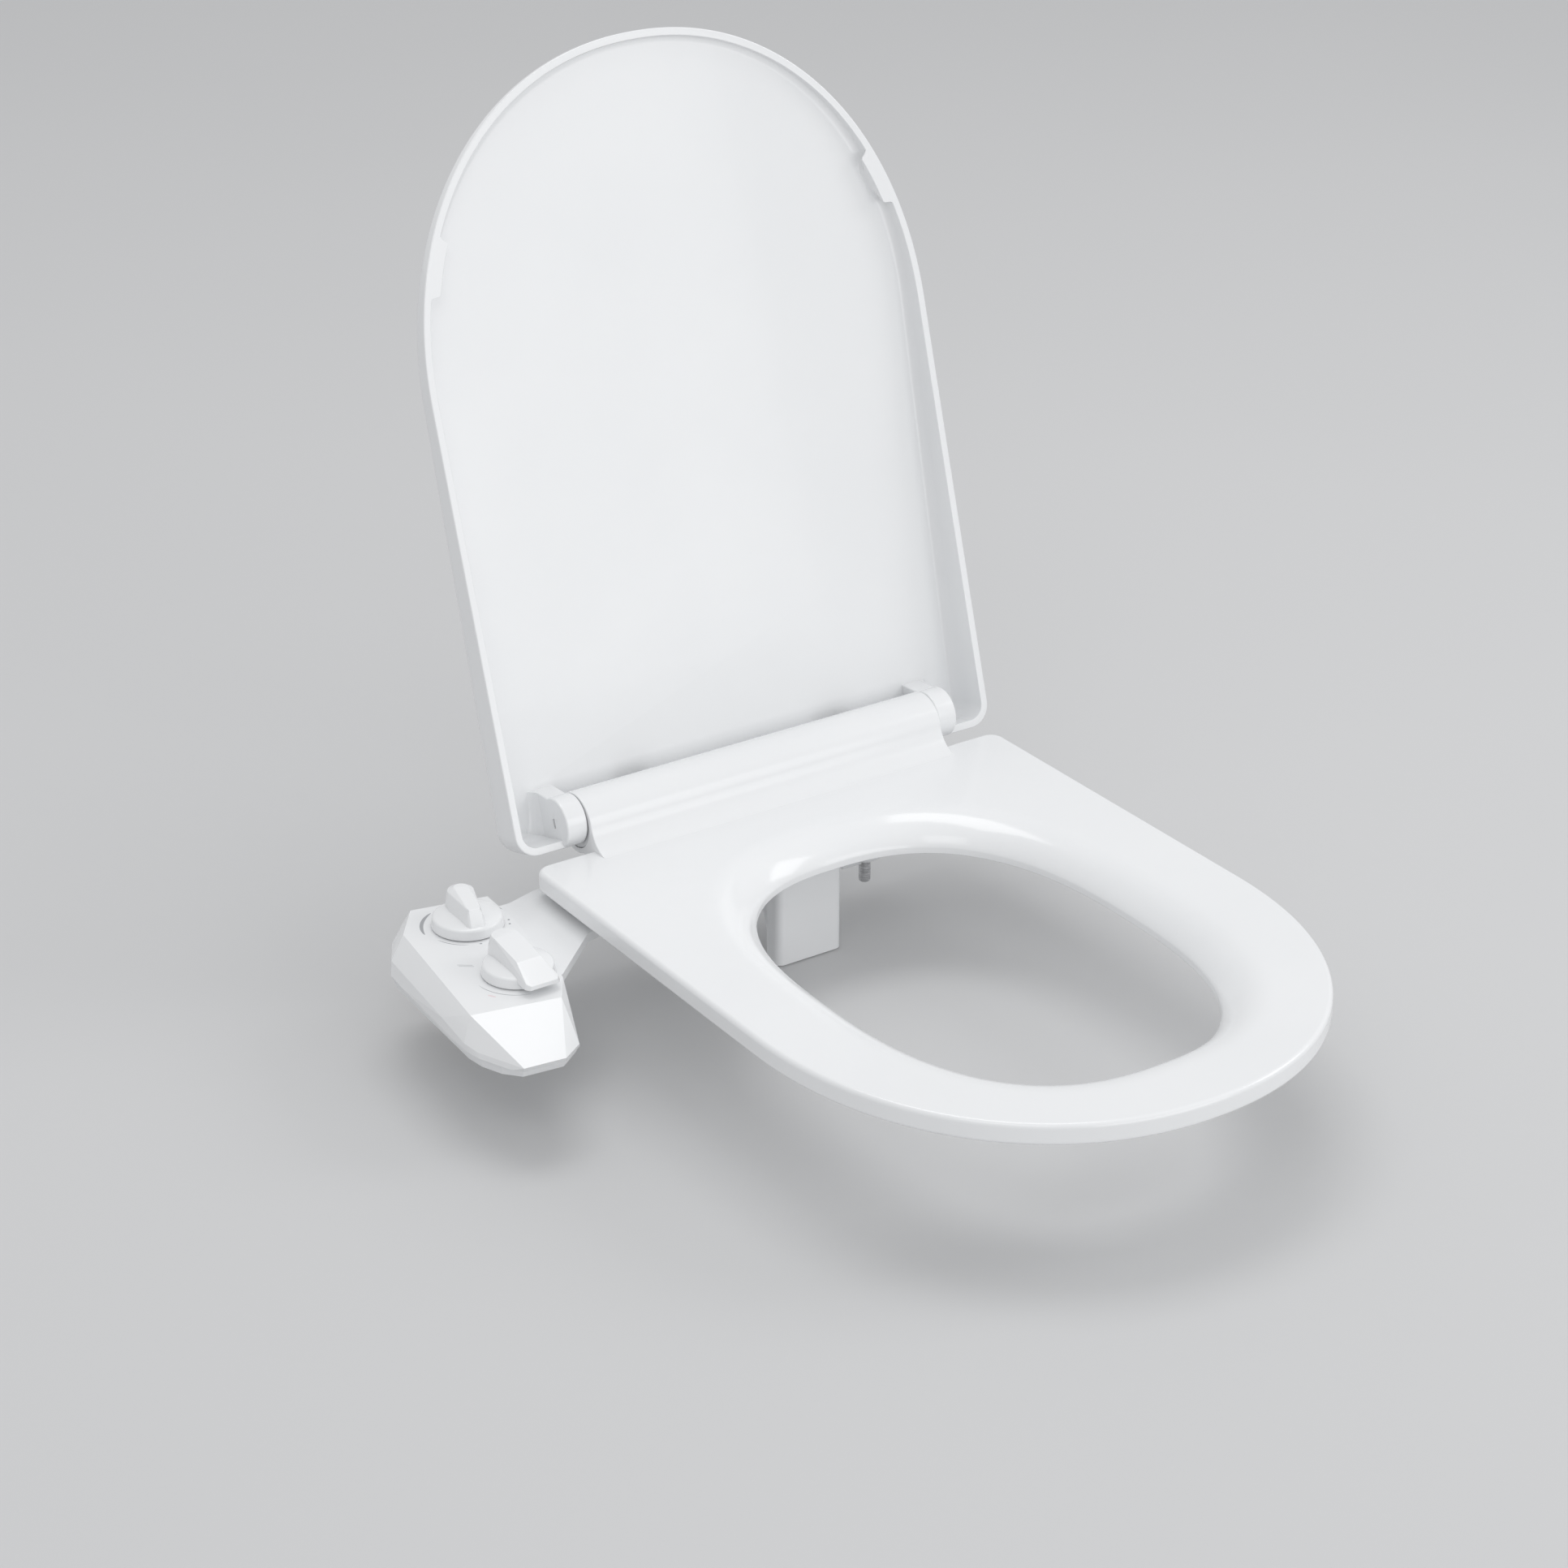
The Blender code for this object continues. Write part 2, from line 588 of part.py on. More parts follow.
# ---------------------------------------------------------------- bidet plate
def panel_x(outward):
    return -(SEAT_WIDTH / 2 + PANEL_GAP + outward)


def tube_path(number):
    """Plan points of one of the two water tubes, from the panel to the nozzles."""
    shift = number * TUBE_PITCH
    return [
        (panel_x(ARM_TAB - 1 * MM), -62 * MM - shift),
        (-SEAT_WIDTH / 2 + 10 * MM, -44 * MM - shift),
        (-PLATE_HALF_WIDTH - 6 * MM, -30 * MM - shift),
        (-NOZZLE_SPACING / 2 + number * NOZZLE_SPACING, -30 * MM - shift),
    ]


def channel():
    """The groove under the plate that holds both tubes."""
    width = 2 * TUBE_RADIUS + 1.2 * MM
    first, second = tube_path(0), tube_path(1)
    second[-1] = (second[-1][0] + width / 2, second[-1][1])
    upper = [(x, y + width / 2) for x, y in first[:-1]] + [(second[-1][0], first[-1][1] + width / 2)]
    lower = [(x, y - width / 2) for x, y in second]
    upper[0] = (upper[0][0] - 15 * MM, upper[0][1] - 6 * MM)
    lower[0] = (lower[0][0] - 15 * MM, lower[0][1] - 6 * MM)
    return prism(upper + lower[::-1], -5 * MM, CHANNEL_HEIGHT)


def make_plate():
    side = -SEAT_WIDTH / 2
    tab_rear = (panel_x(ARM_TAB), ARM_REAR[1])
    tab_front = (panel_x(ARM_TAB + 11 * MM), ARM_FRONT[1] - 2 * MM)
    outline = [
        (PLATE_HALF_WIDTH, PLATE_BACK),
        (PLATE_HALF_WIDTH, PLATE_FRONT + 14 * MM),
        (PLATE_HALF_WIDTH - 26 * MM, PLATE_FRONT),
        (TONGUE_HALF_WIDTH + 8 * MM, PLATE_FRONT),
        (TONGUE_HALF_WIDTH, TONGUE_FRONT),
        (-TONGUE_HALF_WIDTH, TONGUE_FRONT),
        (-TONGUE_HALF_WIDTH - 8 * MM, PLATE_FRONT),
        (-PLATE_HALF_WIDTH, PLATE_FRONT),
        (side + 4 * MM, ARM_FRONT[0]),
        (panel_x(11 * MM), ARM_FRONT[1]),
        tab_front,
        tab_rear,
        (panel_x(-9 * MM), ARM_REAR[1]),
        (side + 5 * MM, ARM_REAR[0]),
        (-PLATE_HALF_WIDTH - 18 * MM, 8 * MM),
        (-PLATE_HALF_WIDTH, PLATE_BACK),
    ]
    plate = add("bidet_plate", prism(outline, 0, PLATE_THICKNESS), "white_plastic")
    for x in (-BOLT_SPREAD / 2, BOLT_SPREAD / 2):
        cut(plate, tool(rod((x, 0, -9 * MM), (x, 0, 20 * MM), DISC_RADIUS + GAP, sides=48)))
    cut(plate, tool(channel()))
    return plate


def make_tubes():
    height = TUBE_RADIUS + 0.5 * MM
    for number, word in enumerate(("rear", "front")):
        points = tube_path(number)
        x, y = points[-1]
        curve = bpy.data.curves.new(f"{word}_water_tube", "CURVE")
        curve.dimensions = "3D"
        curve.bevel_depth = TUBE_RADIUS
        curve.bevel_resolution = 2
        curve.use_fill_caps = True
        spline = curve.splines.new("POLY")
        route = [(px, py, height) for px, py in points[:-1]]
        route += [(x - 6 * MM, y, height), (x - 1.5 * MM, y, height - 0.6 * MM), (x, y, height - 2.4 * MM)]
        route.append((x, y, -3 * MM + height - 0.4 * MM))
        spline.points.add(len(route) - 1)
        for point, place in zip(spline.points, route):
            point.co = (*place, 1)
        curve.materials.append(material("clear_tube"))
        tube = bpy.data.objects.new(f"{word}_water_tube", curve)
        parts.objects.link(tube)


# ---------------------------------------------------------------- control panel
def panel_corners():
    """Corners of the faceted housing as (outward, y, z), in rows from the top down."""
    top, shoulder, split = PANEL_TOP, PANEL_SHOULDER, PANEL_SPLIT
    rows = (
        (top, ((49, 17), (68, -8), (84, -117), (28, -128), (14.5, -107), (2, -34), (0, 7))),
        (shoulder, ((52, 24), (68, 7), (79, -12), (88, -89), (0, 12), (0, -34), (12.5, -107))),
        (shoulder - 3 * MM, ((90, -119), (20, -127))),
        (shoulder - 5 * MM, ((87, -130), (74, -161), (47, -164), (32, -154))),
        (split, ((52, 24), (68, 8), (81, -14), (87, -89), (88, -119), (86, -132), (80, -146), (71, -156))),
        (split, ((44, -159), (28, -148), (15, -119), (0, -34), (0, 12))),
    )
    return [(u * MM, y * MM, z) for z, row in rows for u, y in row]


def split_outline():
    rows = [(u, y) for u, y, z in panel_corners() if z == PANEL_SPLIT]
    return rows


def panel_point(outward, y, z):
    return (panel_x(outward), y, z)


def open_below(bm, level):
    """Takes the flat underside off a hull, so that Solidify makes a shell of the rest."""
    under = [f for f in bm.faces if all(abs(v.co.z - level) < 1e-6 for v in f.verts)]
    bmesh.ops.delete(bm, geom=under, context="FACES")
    return bm


def shell(obj, thickness):
    solid = obj.modifiers.new("Solidify", "SOLIDIFY")
    solid.thickness = thickness
    solid.offset = -1
    solid.use_even_offset = True
    return obj


def knob_place(knob, z):
    return panel_point(knob[0], knob[1], z)


def make_panel_shells():
    corners = [(u, y, z - TRIM if z == PANEL_SPLIT else z) for u, y, z in panel_corners()]
    bm = open_below(hull([panel_point(*c) for c in corners]), PANEL_SPLIT - TRIM)
    top = shell(add("panel_top_shell", bm, "white_plastic"), PANEL_WALL)
    reach = 400 * MM
    cut(top, tool(block((-reach, -reach, PANEL_SPLIT - 30 * MM), (0, reach, PANEL_SPLIT))))
    for knob in (PRESSURE_KNOB, SELECTOR_KNOB):
        low, high = knob_place(knob, 0), knob_place(knob, PANEL_TOP + 9 * MM)
        cut(top, tool(rod(low, high, STEM_RADIUS + 2 * GAP, sides=24)))
    window = [
        (panel_x(-12 * MM), ARM_REAR[1] + 3 * MM),
        (panel_x(-12 * MM), ARM_FRONT[1] + 15 * MM),
        (panel_x(8 * MM), ARM_FRONT[1] - 4 * MM),
        (panel_x(24 * MM), ARM_FRONT[1] - 4 * MM),
        (panel_x(12 * MM), ARM_REAR[1] + 3 * MM),
    ]
    cut(top, tool(prism(window, -1.5 * MM, PLATE_THICKNESS + 0.1 * MM)))
    upper = [(u, y, PANEL_SPLIT + TRIM) for u, y in split_outline()]
    inset = 3.5 * MM
    middle = (44 * MM, -66 * MM)
    lower = []
    for u, y, _ in upper:
        du, dy = u - middle[0], y - middle[1]
        length = math.hypot(du, dy)
        lower.append((u - inset * du / length, y - inset * dy / length, PANEL_BOTTOM))
    bm = hull([panel_point(*c) for c in upper + lower])
    bm = open_below(bm, PANEL_SPLIT + TRIM)
    bottom = shell(add("panel_bottom_shell", bm, "soft_white_plastic"), PANEL_WALL)
    cut(bottom, tool(block((-reach, -reach, PANEL_SPLIT - GAP), (0, reach, PANEL_SPLIT + 30 * MM))))
    place = panel_point(*INLET, 0)
    low, high = PANEL_BOTTOM - 9 * MM, PANEL_SPLIT
    hole = rod((*place[:2], low), (*place[:2], high), INLET_RADIUS + GAP)
    cut(bottom, tool(hole))


def knob_base(name, knob, axis):
    z = PANEL_TOP + 2 * GAP
    r = KNOB_RADIUS
    profile = [(0, 8.4 * MM), (0.45 * r, 8.2 * MM), (0.8 * r, 7.4 * MM), (0.93 * r, 6.2 * MM)]
    profile += [(0.97 * r, 4.5 * MM), (r, 1 * MM), (0.98 * r, 0), (0, 0)]
    place = (0, 0, z - axis.location.z)
    return lathe(name, profile, "white_plastic", place, empty=axis, sides=48)


def drive_square(axis, clearance, low, high):
    half = STEM_SQUARE / 2 + clearance
    z = PANEL_TOP - axis.location.z
    return block((-half, -half, z + low), (half, half, z + high))


def fin(sizes, turn):
    """A knob's handle: long along -Y before it is turned, round behind, its ridge falling a little to
    the front, where a slope runs down to the tip."""
    front, back, width, run, high, brow, tip, rear_share, brow_share = sizes
    w = width / 2
    low = 4.7 * MM
    points = []
    for sx in (-1, 1):
        points += [(sx * w * 0.9, -front, low), (sx * w * 0.86, -front, tip)]
        points += [(sx * brow_share * w, -front + run, brow), (sx * w, 0, low)]
    for i in range(9):
        turned = math.radians(-10 + 25 * i)
        x, y = math.cos(turned), math.sin(turned)
        points.append((w * x, back - w + w * y, low))
        points.append((0.93 * w * x, back - w + 0.93 * w * y, low + 0.45 * (high - low)))
        points.append((0.75 * w * x, back - w + 0.75 * w * y, low + 0.85 * (high - low)))
        points.append((rear_share * w * x, back - w - 1 * MM + rear_share * w * y, high))
    bm = hull(points)
    bmesh.ops.rotate(bm, verts=bm.verts, matrix=Matrix.Rotation(turn, 3, "Z"), cent=(0, 0, 0))
    return bm


def make_knobs():
    places = {"pressure": PRESSURE_KNOB, "selector": SELECTOR_KNOB}
    for word, knob in places.items():
        axis = knob_axes[word]
        base = knob_base(f"{word}_knob", knob, axis)
        handle = fin(*HANDLES[word])
        join(base, tool(handle, axis))
        cut(base, tool(drive_square(axis, GAP, -2 * MM, 7 * MM), axis))
        z = PANEL_TOP - axis.location.z
        stem = add(
            f"{word}_valve_stem",
            rod((0, 0, z - 12 * MM), (0, 0, z + GAP / 2), STEM_RADIUS, sides=24),
            "brass",
            axis,
        )
        join(stem, tool(drive_square(axis, 0, -1 * MM, 6.5 * MM), axis))
        top = PANEL_TOP - PANEL_WALL - GAP
        x, y, _ = knob_place(knob, 0)
        body = rod((x, y, top), (x, y, top - VALVE_HEIGHT), VALVE_RADIUS, sides=32)
        valve = add(f"{word}_valve_body", body, "soft_white_plastic")
        well = rod((x, y, top + 5 * MM), (x, y, PANEL_TOP - 12 * MM - GAP), STEM_RADIUS + RUNNING, sides=24)
        cut(valve, tool(well))
    make_link_tube()


def make_link_tube():
    x0, y0, _ = knob_place(PRESSURE_KNOB, 0)
    x1, y1, _ = knob_place(SELECTOR_KNOB, 0)
    z = -8 * MM
    start, end = Vector((x0, y0, z)), Vector((x1, y1, z))
    way = (end - start).normalized() * (VALVE_RADIUS + GAP)
    add("valve_link_tube", rod(start + way, end - way, 2.5 * MM, sides=16), "clear_tube")


def make_inlet():
    x, y, _ = panel_point(*INLET, 0)
    top = PANEL_SPLIT + 4 * MM
    flange = PANEL_BOTTOM + PANEL_WALL + GAP
    low = PANEL_BOTTOM - INLET_REACH
    r, bore = INLET_RADIUS, INLET_RADIUS - 2.5 * MM
    inner, outer, shoulder = r - 2 * MM, r + 2.5 * MM, flange + 3 * MM
    profile = [(bore, top), (inner, top), (inner, shoulder), (outer, shoulder), (outer, flange)]
    profile += [(r, flange), (r, low + 1 * MM), (r - 0.8 * MM, low), (bore, low), (bore, top)]
    lathe("inlet_fitting", profile, "brass", (x, y, 0), sides=32)
    profile = ring_of(2 * MM, bore - GAP, low + 1 * MM, low + 3 * MM)
    lathe("inlet_filter_washer", profile, "rubber", (x, y, 0), sides=24)


# ---------------------------------------------------------------- nozzles and their guard
def nozzle_line(distance):
    """(y, z) on the nozzles' line, a distance up from the gate's lower edge."""
    y = NOZZLE_FOOT[0] + distance * math.cos(NOZZLE_TILT)
    return y, NOZZLE_FOOT[1] + distance * math.sin(NOZZLE_TILT)


def make_housing():
    half = NOZZLE_SPACING / 2 + NOZZLE_RADIUS + 4 * MM
    low, high = nozzle_line(12 * MM), nozzle_line(52 * MM)
    reach = NOZZLE_RADIUS + 2.5 * MM
    dy, dz = reach * math.sin(NOZZLE_TILT), reach * math.cos(NOZZLE_TILT)
    outline = [
        (low[0] - dy, low[1] + dz),
        (low[0] + dy, low[1] - dz),
        (high[0] + dy, high[1] - dz),
        (high[0] - dy, high[1] + dz),
    ]
    housing = add("nozzle_housing", prism(outline, -half, half, "X"), "soft_white_plastic")
    top = -GAP
    ear_front, ear_back = GATE_AXIS[0] - GATE_EAR[0], GATE_AXIS[0] + GATE_EAR[1]
    y0, y1 = ear_front, high[0] + dy
    flange = block((-half, y0, top - 3 * MM), (half, y1 + 3 * MM, top))
    riser = block((-half, high[0] - dy + 1 * MM, high[1] - 6 * MM), (half, y1 - 0.5 * MM, top - 1 * MM))
    join(housing, tool(flange), tool(riser))
    for side in (-1, 1):
        low_x, high_x = sorted((side * half, side * (half - 3 * MM)))
        ear = block((low_x, ear_front, GATE_AXIS[1] - 3.3 * MM), (high_x, ear_back, top - 1 * MM))
        join(housing, tool(ear))
        x = side * NOZZLE_SPACING / 2
        a, b = nozzle_line(-10 * MM), nozzle_line(46 * MM)
        cut(housing, tool(rod((x, *a), (x, *b), NOZZLE_RADIUS + RUNNING, sides=28)))
    for number in (0, 1):
        x, y = tube_path(number)[-1]
        cut(housing, tool(rod((x, y, 5 * MM), (x, y, -2.2 * MM), TUBE_RADIUS + 2 * GAP, sides=20)))
    pin = GATE_AXIS
    cut(housing, tool(rod((-2 * half, *pin), (2 * half, *pin), GATE_PIN_RADIUS + GAP, sides=20)))
    reach = GATE_WIDTH / 2 + 1 * MM
    add("gate_pin", rod((-reach, *pin), (reach, *pin), GATE_PIN_RADIUS, sides=20), "steel")


def make_nozzles():
    for side, word in ((-1, "rear"), (1, "front")):
        x = side * NOZZLE_SPACING / 2
        tip, top = nozzle_line(4 * MM), nozzle_line(45 * MM)
        axis = nozzle_axes[word]
        dy, dz = -axis.location.y, -axis.location.z
        start, end = (0, tip[0] + dy, tip[1] + dz), (0, top[0] + dy, top[1] + dz)
        nozzle = add(f"{word}_nozzle", rod(start, end, NOZZLE_RADIUS, sides=28), "white_plastic", axis)
        bevel = nozzle.modifiers.new("Bevel", "BEVEL")
        bevel.width = 1.2 * MM
        bevel.segments = 2
        bevel.angle_limit = math.radians(50)
        jet = nozzle_line(9 * MM)
        centre = Vector((0, jet[0] + dy, jet[1] + dz))
        across = Vector((0, -math.sin(NOZZLE_TILT), math.cos(NOZZLE_TILT)))
        cut(nozzle, tool(rod(centre + across * 2 * MM, centre + across * 9 * MM, 0.9 * MM, sides=12), axis))


def make_gate():
    """The guard gate: a tray open at the back, with round front corners, hung on its pin."""
    half = GATE_WIDTH / 2
    r = 5 * MM
    back = GATE_FACE + GATE_DEPTH
    outline = [(half, back)]
    for i in range(6):
        turn = math.radians(18 * i)
        outline.append((half - r + r * math.cos(turn), GATE_FACE + r - r * math.sin(turn)))
    outline += [(-x, y) for x, y in outline[::-1]]
    top = GATE_AXIS[1] + GATE_SIDE_TOP
    shift = Vector((0, -GATE_AXIS[0], -GATE_AXIS[1]))
    bm = prism(outline, GATE_BOTTOM, top)
    bmesh.ops.translate(bm, verts=bm.verts, vec=shift)
    gate = add("guard_gate", bm, "white_plastic", gate_axis)
    wall = GATE_WALL
    inner = [(x * (half - wall) / half, y + wall if y < back else y + 9 * MM) for x, y in outline]
    bm = prism(inner, GATE_BOTTOM + (-9 * MM), top + 9 * MM)
    bmesh.ops.translate(bm, verts=bm.verts, vec=shift)
    cut(gate, tool(bm, gate_axis))
    cut(gate, tool(rod((-2 * half, 0, 0), (2 * half, 0, 0), GATE_PIN_RADIUS + GAP, sides=20), gate_axis))
    face = GATE_FACE - GATE_AXIS[0]
    step = block((-2 * half, face - 5 * MM, GATE_FACE_TOP), (2 * half, face + wall + GAP, 9 * MM))
    cut(gate, tool(step, gate_axis))


clear_scene()
parts = collection("bidet_seat")
cutters = collection("cutters")
hinge = (0, HINGE_BACK, HINGE_HEIGHT)
seat_axis = axis_empty("seat_axis", hinge)
lid_axis = axis_empty("lid_axis", hinge, -LID_OPEN)
knob_axes = {
    "pressure": axis_empty("pressure_axis", knob_place(PRESSURE_KNOB, PANEL_TOP)),
    "selector": axis_empty("selector_axis", knob_place(SELECTOR_KNOB, PANEL_TOP)),
}
nozzle_axes = {
    word: axis_empty(f"{word}_nozzle_axis", (side * NOZZLE_SPACING / 2, *nozzle_line(0)))
    for side, word in ((-1, "rear"), (1, "front"))
}
gate_axis = axis_empty("gate_axis", (0, *GATE_AXIS))

make_seat()
make_bumpers()
make_lid()
make_hinges()
make_mounting()
make_plate()
make_tubes()
make_panel_shells()
make_knobs()
make_inlet()
make_housing()
make_nozzles()
make_gate()
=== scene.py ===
# %% [markdown]
# # A water-driven bidet seat, standing open
# The object is a toilet seat in several white plastics: a lid turned back past upright, a seat ring
# whose rear edge is a round hinge barrel, a plate under them that bolts to the bowl, and beside it a
# faceted control panel with two knobs. Two wash nozzles sit under the plate behind a small gate.
# The engineering model is loaded first as a fixed frame. It gives every place and size, and each
# visible piece here is a finer skin over one of its nodes.

# %% Load the frame
import bpy
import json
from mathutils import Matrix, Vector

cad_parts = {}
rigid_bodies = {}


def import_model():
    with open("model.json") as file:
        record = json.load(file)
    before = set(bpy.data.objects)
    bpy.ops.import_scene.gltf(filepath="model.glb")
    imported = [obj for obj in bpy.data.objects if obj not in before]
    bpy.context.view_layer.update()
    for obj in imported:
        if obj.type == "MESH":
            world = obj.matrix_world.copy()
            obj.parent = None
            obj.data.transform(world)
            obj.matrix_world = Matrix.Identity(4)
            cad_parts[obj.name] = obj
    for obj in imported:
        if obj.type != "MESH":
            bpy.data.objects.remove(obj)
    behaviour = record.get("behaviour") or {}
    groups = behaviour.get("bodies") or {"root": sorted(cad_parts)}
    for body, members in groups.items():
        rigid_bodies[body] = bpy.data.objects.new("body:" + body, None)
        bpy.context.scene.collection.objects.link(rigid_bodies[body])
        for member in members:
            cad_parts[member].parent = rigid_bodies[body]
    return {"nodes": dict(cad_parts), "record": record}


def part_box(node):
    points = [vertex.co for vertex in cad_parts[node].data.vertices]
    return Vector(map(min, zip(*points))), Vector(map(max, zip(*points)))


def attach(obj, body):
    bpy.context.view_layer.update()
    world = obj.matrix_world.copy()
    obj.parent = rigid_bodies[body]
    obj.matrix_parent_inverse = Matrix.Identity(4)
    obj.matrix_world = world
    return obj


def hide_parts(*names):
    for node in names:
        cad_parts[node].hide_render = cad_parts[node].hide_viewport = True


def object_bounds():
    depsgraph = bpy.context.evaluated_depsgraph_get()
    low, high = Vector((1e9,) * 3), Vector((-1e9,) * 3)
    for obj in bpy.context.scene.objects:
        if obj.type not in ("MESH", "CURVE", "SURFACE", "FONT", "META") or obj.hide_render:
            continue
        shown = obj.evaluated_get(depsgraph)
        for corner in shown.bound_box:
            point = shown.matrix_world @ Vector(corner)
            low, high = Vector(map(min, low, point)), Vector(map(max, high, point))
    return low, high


for leftover in list(bpy.data.objects):
    bpy.data.objects.remove(leftover)
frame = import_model()
cad_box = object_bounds()
print("the CAD box runs from", [round(c, 4) for c in cad_box[0]], "to", [round(c, 4) for c in cad_box[1]])

# %% Read the sizes that the pieces share
import json
import math
import bmesh
from mathutils import Matrix, Vector

MM = 0.001
behaviour = frame["record"]["behaviour"]
body_of = {node: body for body, nodes in behaviour["bodies"].items() for node in nodes}
joints = {joint["name"]: joint for joint in behaviour["joints"]}
hinge = Vector(joints["lid_hinge"]["pos_m"])
lid_open = -math.radians(joints["lid_hinge"]["range_deg"][0])
seat_low, seat_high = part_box("seat_ring")
SEAT_HALF = seat_high.x
SEAT_LENGTH = hinge.y - seat_low.y
BARREL_RADIUS = seat_high.z - hinge.z
BARREL_HALF = 134.5 * MM
print(f"seat {2000 * SEAT_HALF:.1f} wide and {1000 * SEAT_LENGTH:.1f} long from the hinge, barrel radius "
      f"{1000 * BARREL_RADIUS:.1f}, lid open {math.degrees(lid_open):.1f} degrees")

# %% [markdown]
# ## The studio
# White plastic shows its shape only by soft gradients, so there are four large soft lights: one above
# and to the left, a wide low one in front that reaches into the lid, one at the right and one overhead.
# A pale grey world fills the shadows. The camera looks down from the front left, where both the inside
# of the lid and the control panel can be seen.

# %% How the camera looks
CAMERA_PLACE = (-1.3009, -1.9400, 1.1850)
CAMERA_TURNS = (-34.11, 26.26, 0.18)  # azimuth, elevation and roll, in degrees
SENSOR_WIDTH, LENS = 36, 93.27  # both in millimetres


def matrix_looking(place, azimuth, elevation, roll):
    """A camera matrix: azimuth 0 looks along +Y, elevation is above the horizon."""
    level, rise = math.cos(elevation), math.sin(elevation)
    back = Vector((math.sin(azimuth) * level, -math.cos(azimuth) * level, rise))
    right = Vector((math.cos(azimuth), math.sin(azimuth), 0))
    up = back.cross(right)
    across = right * math.cos(roll) + up * math.sin(roll)
    upward = up * math.cos(roll) - right * math.sin(roll)
    matrix = Matrix((across, upward, back)).transposed().to_4x4()
    matrix.translation = place
    return matrix


print("a lens of", LENS, "mm, turned by", CAMERA_TURNS, "degrees")

# %% Camera
camera = bpy.data.objects.new("camera", bpy.data.cameras.new("camera"))
bpy.context.scene.collection.objects.link(camera)
camera.data.sensor_width = SENSOR_WIDTH
camera.data.lens = LENS
camera.data.clip_start, camera.data.clip_end = 0.1, 30
turns = [math.radians(degrees) for degrees in CAMERA_TURNS]
camera.matrix_world = matrix_looking(Vector(CAMERA_PLACE), *turns)
bpy.context.scene.camera = camera
print("camera at", [round(c, 3) for c in camera.location])


# %% Lights
def soft_light(name, place, aim, size, watts):
    lamp = bpy.data.lights.new(name, "AREA")
    lamp.shape, lamp.size, lamp.size_y = "RECTANGLE", size[0], size[1]
    lamp.energy = watts
    light = bpy.data.objects.new(name, lamp)
    bpy.context.scene.collection.objects.link(light)
    light.location = place
    light.rotation_euler = (Vector(aim) - Vector(place)).to_track_quat("-Z", "Y").to_euler()


print("an area light has a place, an aim, a size in metres and a power in watts")

# %% Four lights and a pale world
WORLD_GREY, WORLD_STRENGTH = (0.83, 0.835, 0.845, 1), 0.79
soft_light("key_light", (-1.5, -1.6, 2.6), (0, -0.1, 0.1), (1.6, 1.2), 8)
soft_light("front_light", (0.6, -3.2, 0.9), (0, 0, 0.2), (2.8, 1.6), 20)
soft_light("side_light", (2.2, -1.0, 1.6), (0, -0.1, 0.1), (1.2, 1.2), 10)
soft_light("top_light", (0.2, 0.6, 2.8), (0, -0.1, 0), (1.8, 1.2), 17)
world = bpy.data.worlds.new("pale_room")
world.use_nodes = True
background = world.node_tree.nodes["Background"]
background.inputs["Color"].default_value = WORLD_GREY
background.inputs["Strength"].default_value = WORLD_STRENGTH
bpy.context.scene.world = world
bpy.context.scene.view_settings.view_transform = "Standard"
print("four area lights and a pale world")

# %% [markdown]
# ## Writing a material as arithmetic
# A node material is easier to read as a formula. `Wire` wraps one output socket, and its operators add
# Math nodes, so `1 - mask` or `noise * 0.1 + 0.2` build the node tree. `Tree.node` adds any other node
# from its type, its settings and the values or wires of its inputs. Both also serve Geometry Nodes.

# %% Wires
class Wire:
    """One output socket. Arithmetic on it adds Math nodes to its tree."""

    def __init__(self, tree, socket):
        self.tree, self.socket = tree, socket

    def math(self, operation, *values):
        return self.tree.node("ShaderNodeMath", {"operation": operation}, dict(enumerate(values)))

    def __add__(self, other):
        return self.math("ADD", self, other)

    def __sub__(self, other):
        return self.math("SUBTRACT", self, other)

    def __rsub__(self, other):
        return self.math("SUBTRACT", other, self)

    def __mul__(self, other):
        return self.math("MULTIPLY", self, other)

    def __truediv__(self, other):
        return self.math("DIVIDE", self, other)

    def __pow__(self, other):
        return self.math("POWER", self, other)

    def __abs__(self):
        return self.math("ABSOLUTE", self)

    __radd__, __rmul__ = __add__, __mul__

    def most(self, other):
        return self.math("MAXIMUM", self, other)

    def least(self, other):
        return self.math("MINIMUM", self, other)

    def clamped(self):
        return self.most(0).least(1)


print("an expression on wires adds its own nodes")


# %% Trees
class Tree:
    """A node tree that is filled by calls to node()."""

    def __init__(self, tree):
        self.tree = tree

    def node(self, kind, settings=None, inputs=None, output=0):
        made = self.tree.nodes.new(kind)
        for key, value in (settings or {}).items():
            setattr(made, key, value)
        for key, value in (inputs or {}).items():
            if isinstance(value, Wire):
                self.tree.links.new(value.socket, made.inputs[key])
            else:
                made.inputs[key].default_value = value
        return Wire(self, made.outputs[output]) if made.outputs else None

    def mix(self, factor, first, second):
        """A colour between two colours. 6, 7 and 2 are the Mix node's colour sockets."""
        return self.node("ShaderNodeMix", {"data_type": "RGBA"}, {0: factor, 6: first, 7: second}, 2)

    def noise(self, place, scale, detail=2.0, roughness=0.5):
        inputs = {"Vector": place, "Scale": scale, "Detail": detail, "Roughness": roughness}
        return self.node("ShaderNodeTexNoise", None, inputs)


def tone(red, green, blue):
    return (red, green, blue, 1.0)


def blank_material(name):
    """A material without nodes, its tree, and the wire of its Object coordinates."""
    material = bpy.data.materials.new(name)
    material.use_nodes = True
    material.node_tree.nodes.clear()
    tree = Tree(material.node_tree)
    return material, tree, tree.node("ShaderNodeTexCoord", None, None, "Object")


print("Wire and Tree are ready")

